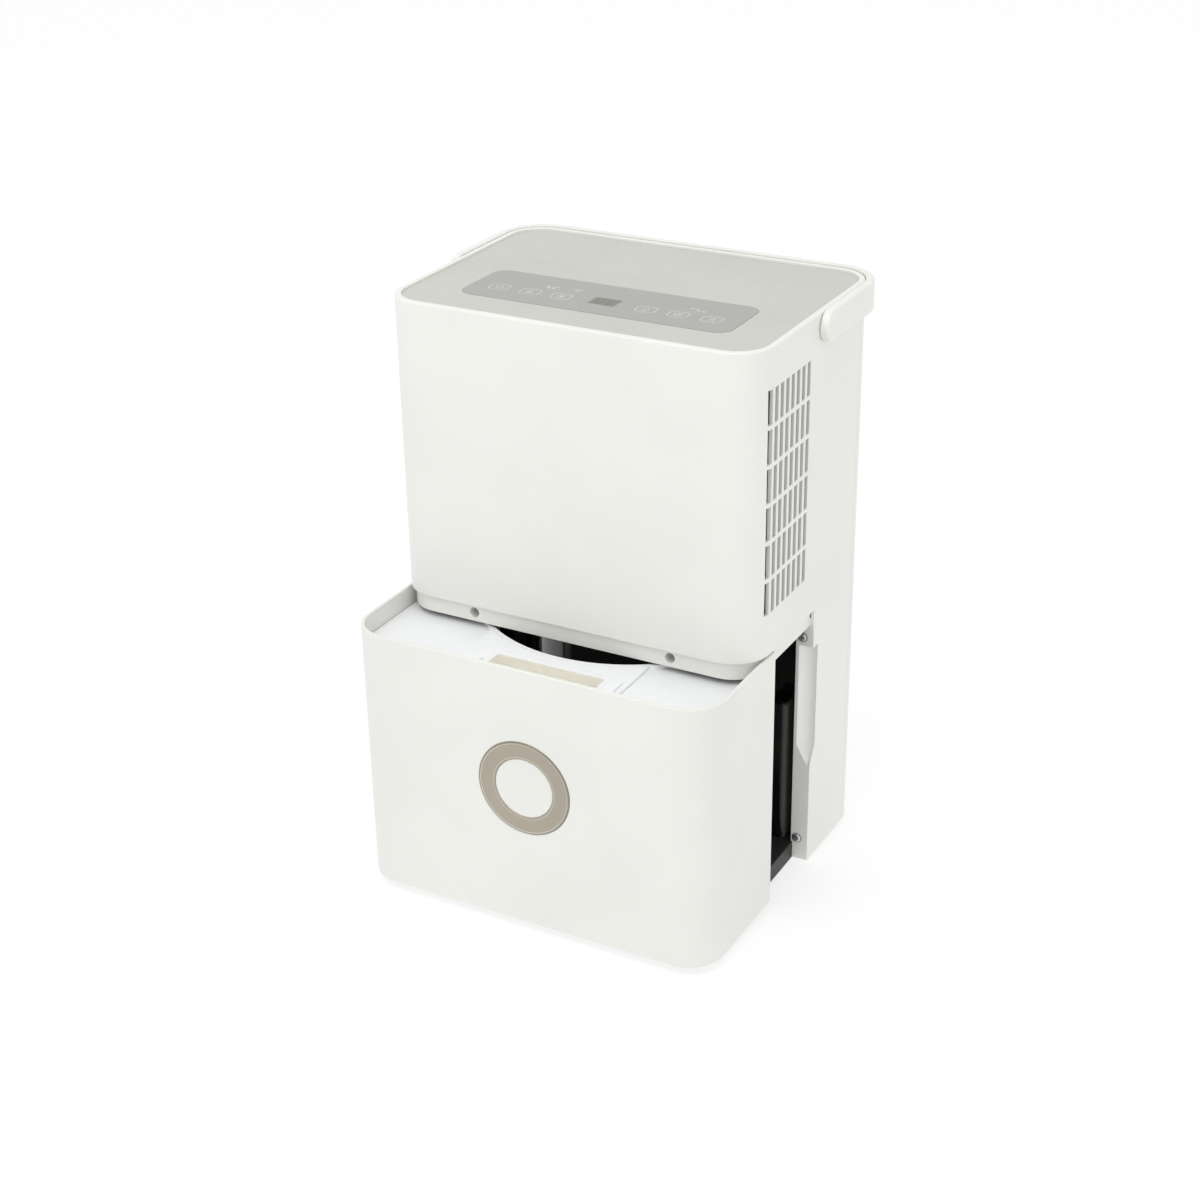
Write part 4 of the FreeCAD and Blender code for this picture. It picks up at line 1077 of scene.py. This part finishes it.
# ---- controls --------------------------------------------
@dataclass
class Controls:
    """Printed keys, pips and the display's segments on the control strip."""

    shop: Workshop
    key_x: tuple[float, ...] = (-82.5, -57.5, -33.0, 33.0, 57.5, 82.5)
    key_y: float = -41.0
    key_half: tuple[float, float] = (7.2, 5.6)
    key_corner: float = 3.2
    corner_steps: int = 6
    stroke: float = 0.46 * MM
    stroke_sides: int = 6
    flatten: float = 0.14
    pip_sites: tuple[tuple[float, float], ...] = ((-52.0, -25.2), (-48.2, -25.2), (-44.4, -25.2),
                                                  (-50.0, -28.0), (-46.2, -28.0), (-30.4, -23.8),
                                                  (-26.6, -23.8), (-28.5, -26.4), (61.0, -25.6),
                                                  (64.8, -25.6), (66.6, -28.4), (70.4, -28.4))
    pip_size: Point = (2.9 * MM, 0.8 * MM, 0.06 * MM)
    digit_x: tuple[float, ...] = (-3.9, 3.9)
    digit_half: tuple[float, float] = (2.3, 4.2)
    bar_half: float = 0.34
    bar_gap: float = 0.5
    bar_height: float = 0.04
    pip_sides: int = 8
    top: float = field(default=0.0, init=False)

    def build(self) -> None:
        """Key outlines with their signs, pips and segments."""
        _, high = box_of("control_strip")
        self.top = high.z
        self.keys()
        self.pips()
        self.segments()

    def keys(self) -> None:
        """Outline and sign of each key, drawn along strokes."""
        strokes = []
        signs = [self.power_sign(), self.moon_sign(), self.fan_sign(), self.drop_sign(), self.clock_sign(),
                 self.lock_sign()]
        for x, sign in zip(self.key_x, signs):
            for line in [self.rounded_outline(), *sign]:
                strokes.append([(x + px, self.key_y + py) for px, py in line])
        mesh = bmesh.new()
        for line in strokes:
            verts = [mesh.verts.new((x * MM, y * MM, self.top)) for x, y in line]
            for first, second in zip(verts, verts[1:]):
                mesh.edges.new((first, second))
        bmesh.ops.remove_doubles(mesh, verts=mesh.verts, dist=0.01 * MM)
        ink = PrintedInk("strip_film", (0.74, 0.745, 0.72), 0.45).make()
        rule = Rule("key_strokes", ink)
        width = rule.size("Stroke", self.stroke)
        flatten = rule.size("Flatten", self.flatten)
        plane = rule.size("Plane", self.top)
        path = rule.node("GeometryNodeMeshToCurve", None, {"Mesh": rule.inlet.outputs[0]})
        drawn = rule.tube(path.outputs[0], width * 0.5, self.stroke_sides)
        x, y, z = rule.split(rule.position())
        pressed = rule.node("GeometryNodeSetPosition", None, {
            "Geometry": drawn, "Position": rule.join(x, y, plane + (z - plane) * flatten)})
        self.shop.place(smooth(rule.run(pressed.outputs[0], to_mesh(mesh, "key_lines"))), "key_signs",
                        Body.HOUSING, "strip_film")

    def rounded_outline(self) -> list[tuple[float, float]]:
        """Closed outline of one key, with round corners.

        Returns:
            The outline's points, in mm about the key's middle.
        """
        half_x, half_y = self.key_half
        radius = self.key_corner
        line = []
        for turn, (sx, sy) in enumerate(((1, 1), (-1, 1), (-1, -1), (1, -1))):
            for k in range(self.corner_steps + 1):
                angle = math.radians(90 * turn + 90 / self.corner_steps * k)
                line.append((sx * (half_x - radius) + radius * math.cos(angle),
                             sy * (half_y - radius) + radius * math.sin(angle)))
        return line + line[:1]

    @staticmethod
    def arc(x: float, y: float, radius: float, start: float, end: float, steps: int = 14) -> list:
        """Points along an arc, in degrees."""
        turns = [math.radians(start + (end - start) * k / steps) for k in range(steps + 1)]
        return [(x + radius * math.cos(a), y + radius * math.sin(a)) for a in turns]

    def power_sign(self) -> list[list]:
        """Open ring with an upright stroke."""
        return [self.arc(0, 0, 2.5, 125, 415, 18), [(0, 0.6), (0, 3.2)]]

    def moon_sign(self) -> list[list]:
        """Crescent.

        Returns:
            Its lines.
        """
        outer = self.arc(0, 0, 2.7, 60, 330, 16)
        inner = self.arc(1.5, 0.45, 2.25, 300, 95, 12)
        return [outer + inner + outer[:1]]

    def fan_sign(self) -> list[list]:
        """Three blades round a hub.

        Returns:
            Its lines.
        """
        lines = [self.arc(0, 0, 0.6, 0, 360, 8)]
        for turn in (90, 210, 330):
            angle = math.radians(turn)
            lines.append(self.arc(1.75 * math.cos(angle), 1.75 * math.sin(angle), 1.2, turn - 160, turn + 110,
                                  10))
        return lines

    def drop_sign(self) -> list[list]:
        """Water drop."""
        bowl = self.arc(0, -0.8, 2.0, 150, 390, 14)
        return [[(0, 3.2)] + bowl + [(0, 3.2)]]

    def clock_sign(self) -> list[list]:
        """Clock face with two hands."""
        return [self.arc(0, 0, 2.7, 0, 360, 20), [(0, 1.8), (0, 0), (1.3, -0.7)]]

    def lock_sign(self) -> list[list]:
        """Padlock."""
        body = [(-2.1, 0.3), (2.1, 0.3), (2.1, -2.7), (-2.1, -2.7), (-2.1, 0.3)]
        return [body, [(-1.4, 0.3)] + self.arc(0, 1.2, 1.4, 180, 0, 10) + [(1.4, 0.3)]]

    def pips(self) -> None:
        """Small lamp bars beside the keys, as flattened rods."""
        sites = bmesh.new()
        for x, y in self.pip_sites:
            sites.verts.new((x * MM, y * MM, self.top))
        rule = Rule("lamp_pips", PrintedInk("strip_film", (0.78, 0.78, 0.75), 0.3).make())
        wide, deep, high = (rule.size(name, value) for name, value in zip("XYZ", self.pip_size))
        ends = rule.node("GeometryNodeCurvePrimitiveLine", None,
                         {"Start": rule.join(wide * -0.5, 0.0, 0.0), "End": rule.join(wide * 0.5, 0.0, 0.0)})
        bar = rule.tube(ends.outputs[0], deep * 0.5, self.pip_sides)
        pip = rule.node("GeometryNodeTransform", None,
                        {"Geometry": bar, "Scale": rule.join(1.0, 1.0, high / deep)})
        spread = rule.spread(rule.inlet.outputs[0], pip.outputs[0])
        self.shop.place(smooth(rule.run(spread, to_mesh(sites, "pip_sites"))), "indicator_pips",
                        Body.HOUSING, "strip_film")

    def segments(self) -> None:
        """Unlit bars of two digits under the smoked window."""
        low, high = box_of("display_window")
        centre = middle((low, high))
        half_x, half_y = self.digit_half
        bars = []
        for x in self.digit_x:
            for y in (-half_y, 0.0, half_y):
                bars.append((x, y, half_x - self.bar_gap, self.bar_half))
            for sx in (-half_x, half_x):
                for y in (-half_y / 2, half_y / 2):
                    bars.append((x + sx, y, self.bar_half, half_y / 2 - self.bar_gap))
        mesh = bmesh.new()
        for x, y, wide, deep in bars:
            bar = prism([(-wide, -deep), (wide, -deep), (wide, deep), (-wide, deep)], 0.0,
                        self.bar_height)
            piece = to_mesh(bar, "bar")
            piece.transform(Matrix.Translation(Vector((x, y, 0.0))))
            mesh.from_mesh(piece)
        bmesh.ops.scale(mesh, vec=(MM, MM, MM), verts=mesh.verts)
        bmesh.ops.translate(mesh, vec=(centre.x, centre.y, high.z), verts=mesh.verts)
        made = to_mesh(mesh, "segments")
        made.materials.append(PrintedInk("display_dark", (0.15, 0.137, 0.10), 0.3).make())
        self.shop.place(made, "display_segments", Body.HOUSING, "display_dark")


# ---- water tank ------------------------------------------
@dataclass
class WaterTank:
    """Cover, lid with its grip, and the level ring."""

    shop: Workshop
    edge_round: float = 0.4 * MM
    thin_round: float = 0.25 * MM
    tab_height: float = 1.6 * MM
    pocket_x: float = 2.7 * MM
    pocket_half: float = 43.4 * MM
    pocket_y: tuple[float, float] = (-157.9 * MM, -129.4 * MM)
    ring_inner: float = RING_INNER
    ring_steps: int = 144
    # how far in from an edge and down from the front, in mm
    outer_face: tuple[tuple[float, float], ...] = ((0.0, 0.7), (0.25, 0.25), (0.9, 0.0), (1.7, 0.0),
                                                   (1.95, 0.22), (2.3, 0.05), (5.0, 0.16), (9.5, 0.16))
    inner_face: tuple[tuple[float, float], ...] = ((0.0, 0.8), (0.7, 0.1), (1.6, 0.0), (1.9, 0.2))
    middle_inset: float = 9.7 * MM
    dish: float = 0.16 * MM

    def build(self) -> None:
        """Round the mouldings and turn the ring."""
        for node, slot, width in (("tank_cover", "casing_white", self.edge_round),
                                  ("tank_lid", "lid_white", self.thin_round)):
            self.shop.mould(node, Body.TANK, slot, width)
        self.grip()
        self.ring()

    def grip(self) -> None:
        """Raised middle of the lid with its ivory finger pocket."""
        high = box_of("tank_grip")[1].z - self.tab_height
        front, back = self.pocket_y
        mesh = softened("tank_grip", self.thin_round)
        mesh.materials.clear()
        lid = self.shop.shelf["lid_white"]
        mesh.materials.append(PocketMoulding(
            lid.slot, lid.colour, lid.roughness,
            pocket_low=(self.pocket_x - self.pocket_half, front, 0.0),
            pocket_high=(self.pocket_x + self.pocket_half, back, high - self.thin_round)).make())
        self.shop.place(mesh, "tank_grip_moulded", Body.TANK, "lid_white", ["tank_grip"])

    def ring(self) -> None:
        """Level ring: bevelled edges, a fine groove inside each, and a slightly dished face."""
        low, high = box_of("level_ring")
        centre = middle((low, high))
        outer = (high.x - low.x) / 2
        inner = self.ring_inner
        depth = high.y - low.y
        profile = [(outer, 0.0)] + [(outer - x * MM, depth - z * MM) for x, z in self.outer_face]
        profile += [(inner + (outer - inner - self.middle_inset), depth - self.dish)]
        profile += [(inner + x * MM, depth - z * MM) for x, z in reversed(self.inner_face)] + [(inner, 0.0)]
        mesh = to_mesh(revolved(profile, self.ring_steps, closed=True), "ring")
        turn = Matrix.Rotation(math.pi / 2, 4, "X")
        mesh.transform(Matrix.Translation((centre.x, high.y, centre.z)) @ turn)
        self.shop.place(smooth(mesh, 24.0), "level_ring_turned", Body.TANK, "ring_taupe", ["level_ring"])


# ---- base and black wall ---------------------------------
@dataclass
class BaseAndWall:
    """Base pan and the black wall behind the tank."""

    shop: Workshop
    edge_round: float = 0.4 * MM

    def build(self) -> None:
        """Round the black mouldings that show beside and above the tank."""
        for node, slot in (("base_tray", "black_matt"), ("chassis_wall", "black_gloss")):
            self.shop.mould(node, Body.HOUSING, slot, self.edge_round)


# ---- coils and filter ------------------------------------
THREAD_SIDES = 4


@dataclass
class FinPack:
    """Stack of thin corrugated fins, in place of one coil's solid block."""

    shop: Workshop
    node: str
    pitch: float = 1.9 * MM
    thickness: float = 0.16 * MM
    wave: float = 0.35 * MM
    ridges: int = 6

    def build(self) -> None:
        """One fin is a folded plate; the rule repeats it along the coil."""
        low, high = box_of(self.node)
        span = high - low
        count = int((span.x - 2 * self.wave) / self.pitch) + 1
        slack = span.x - (count - 1) * self.pitch
        rule = Rule(self.node + "_rule", self.shop.paint("fin_aluminium"))
        number = rule.size("Fins", count)
        pitch = rule.size("Pitch", self.pitch)
        thick = rule.size("Thickness", self.thickness)
        deep = rule.size("Depth", span.y)
        tall = rule.size("Height", span.z)
        wave = rule.size("Wave", self.wave)
        first = rule.size("First", (low.x + slack / 2, low.y + span.y / 2, low.z + span.z / 2))
        fin = rule.node("GeometryNodeMeshCube", None,
                        {"Size": rule.join(thick, deep, tall), "Vertices X": 2,
                         "Vertices Y": self.ridges + 1, "Vertices Z": 2})
        _, y, _ = rule.split(rule.position())
        fold = (y / (deep / float(self.ridges)) + float(self.ridges)).math("PINGPONG", 1.0) * wave
        folded = rule.node("GeometryNodeSetPosition", None,
                           {"Geometry": fin.outputs[0], "Offset": rule.join(fold, 0.0, 0.0)})
        line = rule.node("GeometryNodeMeshLine", {"mode": "OFFSET"},
                         {"Count": number, "Start Location": first, "Offset": rule.join(pitch, 0.0, 0.0)})
        stack = rule.spread(line.outputs[0], folded.outputs[0])
        self.shop.place(rule.run(stack), self.node + "_pack", Body.HOUSING, "fin_aluminium",
                        [self.node])


@dataclass
class FilterWeave:
    """Woven nylon of the air filter, in place of its plain sheet."""

    shop: Workshop
    pitch: float = 2.0 * MM
    thread: float = 0.15 * MM
    sway: float = 0.12 * MM

    def build(self) -> None:
        """Threads both ways, each passing over and under the others."""
        low, high = box_of("filter_mesh")
        rule = Rule("filter_weave_rule", self.shop.paint("mesh_grey"))
        pitch = rule.size("Pitch", self.pitch)
        thread = rule.size("Thread radius", self.thread)
        sway = rule.size("Sway", self.sway)
        start = rule.size("Start", (low.x + self.pitch / 2, (low.y + high.y) / 2, low.z + self.pitch / 2))
        columns = int((high.x - low.x) / self.pitch)
        rows = int((high.z - low.z) / self.pitch)
        sets = [self.threads(rule, pitch, thread, columns, rows, upright) for upright in (False, True)]
        woven = []
        for threads, side in zip(sets, (1.0, -1.0)):
            x, _, z = rule.split(rule.position())
            over = (x * math.pi / pitch).cosine() * (z * math.pi / pitch).cosine() * sway * side
            woven.append(rule.node("GeometryNodeSetPosition", None,
                                   {"Geometry": threads, "Offset": rule.join(0.0, over, 0.0)}))
        both = rule.node("GeometryNodeJoinGeometry")
        for part in woven:
            rule.tree.links.new(part.outputs[0], both.inputs[0])
        put = rule.node("GeometryNodeTransform", None, {"Geometry": both.outputs[0], "Translation": start})
        self.shop.place(smooth(rule.run(put.outputs[0]), 60.0), "filter_weave", Body.FILTER, "mesh_grey",
                        ["filter_mesh"])

    @staticmethod
    def threads(rule: Rule, pitch: Level, thread: Level, columns: int, rows: int,
                upright: bool) -> Socket:
        """One set of parallel threads.

        Args:
            rule: the tree.
            pitch: distance between threads.
            thread: a thread's radius.
            columns: threads across.
            rows: threads up.
            upright: run up, not across.

        Returns:
            The realised threads.
        """
        crossings, repeats = (rows, columns) if upright else (columns, rows)
        reach = pitch * float(crossings - 1)
        end = rule.join(0.0, 0.0, reach) if upright else rule.join(reach, 0.0, 0.0)
        step = rule.join(pitch, 0.0, 0.0) if upright else rule.join(0.0, 0.0, pitch)
        line = rule.node("GeometryNodeCurvePrimitiveLine", None, {"End": end})
        parted = rule.node("GeometryNodeResampleCurve", None, {"Curve": line.outputs[0], "Count": crossings})
        drawn = rule.tube(parted.outputs[0], thread, THREAD_SIDES)
        sites = rule.node("GeometryNodeMeshLine", {"mode": "OFFSET"}, {"Count": repeats, "Offset": step})
        spread = rule.spread(sites.outputs[0], drawn)
        return rule.node("GeometryNodeRealizeInstances", None, {"Geometry": spread}).outputs[0]


# ---- screws ----------------------------------------------
SCREW_AXES = {"flange_screws": (0, -1, 0), "lip_screws": (0, -1, 0), "rear_screws": (0, 1, 0),
              "motor_screws": (0, 1, 0)}


@dataclass
class CrossHeadScrews:
    """Pan-head screws with a tapered cross recess, in place of one frame node's screws."""

    shop: Workshop
    node: str
    axis: Point
    body: Body = Body.HOUSING
    shank_radius: float = 2.0 * MM
    thread_pitch: float = 0.9 * MM
    steps: int = 28
    # the head's outline, as shares of its radius and of its thickness
    head_outline: tuple[tuple[float, float], ...] = ((0.97, 1.0), (1.0, 0.86), (1.0, 0.5), (0.93, 0.22),
                                                     (0.76, 0.06), (0.5, 0.0), (0.0, 0.0))

    def build(self) -> None:
        """Turn one screw, then repeat it where the frame's screws are."""
        boxes = solid_boxes(self.node)
        axis = Vector(self.axis)
        along = max(range(3), key=lambda k: abs(axis[k]))
        length = boxes[0][1][along] - boxes[0][0][along]
        head_radius = (boxes[0][1].x - boxes[0][0].x) / 2
        sites = bmesh.new()
        for low, high in boxes:
            spot = (low + high) / 2
            spot[along] = (high if axis[along] > 0 else low)[along]
            sites.verts.new(spot)
        template = work_object(self.one_screw(head_radius, length))
        rule = Rule(self.node + "_rule", self.shop.paint("zinc_steel"))
        lean = rule.size("Turn", tuple(Vector((0, 0, 1)).rotation_difference(axis).to_euler()))
        screw = rule.node("GeometryNodeObjectInfo", None, {"Object": template})
        spread = rule.spread(rule.inlet.outputs[0], screw.outputs["Geometry"], Rotation=lean)
        mesh = rule.run(spread, to_mesh(sites, "screw_sites"))
        bpy.data.objects.remove(template)
        self.shop.place(smooth(mesh, 40.0), self.node + "_turned", self.body, "zinc_steel", [self.node])

    def one_screw(self, head: float, length: float) -> Mesh:
        """A screw along -Z with the top of its head at the origin.

        Args:
            head: the head's radius.
            length: from the head's top to the shank's end.

        Returns:
            The screw's mesh.
        """
        thick = 0.55 * head
        shank = self.shank_radius
        profile = [(0.0, -length), (shank * 0.5, -length), (shank * 0.98, -length + shank * 0.7)]
        turns = max(2, int((length - thick - shank * 1.4) / self.thread_pitch))
        for k in range(turns):
            foot = -length + shank * 0.8 + k * self.thread_pitch
            profile += [(shank * 0.8, foot), (shank * 0.98, foot + self.thread_pitch / 2)]
        profile += [(shank * 0.8, -thick)] + [(head * r, -thick * t) for r, t in self.head_outline]
        work = work_object(to_mesh(revolved(profile, self.steps), "screw"))
        cutter = work_object(self.cross(head))
        recess = work.modifiers.new("recess", "BOOLEAN")
        recess.operation = "DIFFERENCE"
        recess.solver = "EXACT"
        recess.object = cutter
        mesh = evaluated(work)
        bpy.data.objects.remove(cutter)
        return mesh

    @staticmethod
    def cross(head: float) -> Mesh:
        """Tapered cross that cuts the recess.

        Args:
            head: the head's radius.

        Returns:
            The cutter's mesh.
        """
        reach = head * 0.56
        arm = head * 0.13
        outline = []
        for quarter in range(4):
            c = round(math.cos(math.pi / 2 * quarter))
            s = round(math.sin(math.pi / 2 * quarter))
            for x, y in ((reach, -arm), (reach, arm), (arm, arm)):
                outline.append((c * x - s * y, s * x + c * y))
        mesh = prism(outline, -head * 0.42, head * 0.1)
        for vert in mesh.verts:
            if vert.co.z < 0:
                vert.co.x *= 0.45
                vert.co.y *= 0.45
        return to_mesh(mesh, "cross")


# ---- room ------------------------------------------------
@dataclass(frozen=True)
class Lamp:
    """A soft box that points at the object's middle."""

    name: str
    place: Point
    size: tuple[float, float]
    power: float

    def hang(self, target: Vector) -> None:
        """Make the lamp and aim it.

        Args:
            target: where it points.
        """
        light = bpy.data.lights.new(self.name, "AREA")
        light.shape = "RECTANGLE"
        light.size, light.size_y = self.size
        light.energy = self.power
        lamp = bpy.data.objects.new(self.name, light)
        bpy.context.scene.collection.objects.link(lamp)
        lamp.location = self.place
        lamp.rotation_mode = "QUATERNION"
        lamp.rotation_quaternion = (target - Vector(self.place)).to_track_quat("-Z", "Y")


@dataclass
class Studio:
    """Camera, pale floor and soft light."""

    lens: float = 63.873
    sensor: float = 36.0
    azimuth: float = 28.966
    elevation: float = 25.994
    roll: float = -0.9734
    stand: Point = (0.67251, -1.26766, 0.89445)
    sky: float = 0.88
    floor_glow: float = 0.72
    floor_half: float = 40.0
    floor_gap: float = 0.1 * MM
    floor_colour: Colour = (0.30, 0.30, 0.298)
    lamps: tuple[Lamp, ...] = (
        Lamp("key_lamp", (-0.7, -1.9, 1.0), (0.09, 1.5), 0.8),
        Lamp("top_lamp", (-0.1, -0.9, 2.1), (1.4, 1.4), 13.0),
        Lamp("fill_lamp", (1.75, -1.3, 0.9), (1.1, 1.1), 2.2),
    )

    def build(self) -> None:
        """Set up the view and the light."""
        self.camera()
        self.floor()
        self.world()
        target = (cad_low + cad_high) / 2
        for lamp in self.lamps:
            lamp.hang(target)
        view = bpy.context.scene.view_settings
        view.view_transform = "Standard"
        view.look = "None"

    def camera(self) -> None:
        """Camera from its angles and place."""
        turn, rise, lean = (math.radians(a) for a in (self.azimuth, self.elevation, self.roll))
        back = Vector((math.sin(turn) * math.cos(rise), -math.cos(turn) * math.cos(rise), math.sin(rise)))
        level = Vector((0, 0, 1)).cross(back).normalized()
        upright = back.cross(level)
        right = math.cos(lean) * level + math.sin(lean) * upright
        top = -math.sin(lean) * level + math.cos(lean) * upright
        data = bpy.data.cameras.new("camera")
        data.lens = self.lens
        data.sensor_width = self.sensor
        data.sensor_fit = "HORIZONTAL"
        data.clip_start = 0.05
        data.clip_end = 50.0
        camera = bpy.data.objects.new("camera", data)
        bpy.context.scene.collection.objects.link(camera)
        facing = Matrix((right, top, back)).transposed().to_4x4()
        camera.matrix_world = Matrix.Translation(self.stand) @ facing
        bpy.context.scene.camera = camera

    def floor(self) -> None:
        """Pale floor just under the feet."""
        mesh = bmesh.new()
        bmesh.ops.create_grid(mesh, x_segments=2, y_segments=2, size=self.floor_half)
        bmesh.ops.translate(mesh, verts=mesh.verts, vec=(0, 0, cad_low.z - self.floor_gap))
        floor = bpy.data.objects.new("floor", to_mesh(mesh, "floor"))
        bpy.context.scene.collection.objects.link(floor)
        paint = Paint("floor_paint")
        paint.shader.inputs["Emission Color"].default_value = (1.0, 1.0, 1.0, 1.0)
        floor.data.materials.append(paint.surface(
            self.floor_colour, 0.9, Emission_Strength=self.floor_glow, Specular_IOR_Level=0.0))

    def world(self) -> None:
        """Even white surroundings."""
        world = bpy.data.worlds.new("room")
        world.use_nodes = True
        background = world.node_tree.nodes["Background"]
        background.inputs["Color"].default_value = (1.0, 1.0, 0.995, 1.0)
        background.inputs["Strength"].default_value = self.sky
        bpy.context.scene.world = world


def main() -> None:
    """Build every part in order."""
    logging.basicConfig(level=logging.INFO, format="%(name)s: %(message)s")
    Studio().build()
    shop = Workshop()
    for part in frame["record"]["subparts"]:
        shop.dress(part["node"], shop.paint(part["material_slot"]))
    parts = [Casing(shop), Controls(shop), WaterTank(shop), BaseAndWall(shop),
             *(FinPack(shop, node) for node in ("evaporator_fins", "condenser_fins")), FilterWeave(shop),
             *(CrossHeadScrews(shop, node, axis) for node, axis in SCREW_AXES.items())]
    for part in parts:
        part.build()


if __name__ == "__main__":
    main()
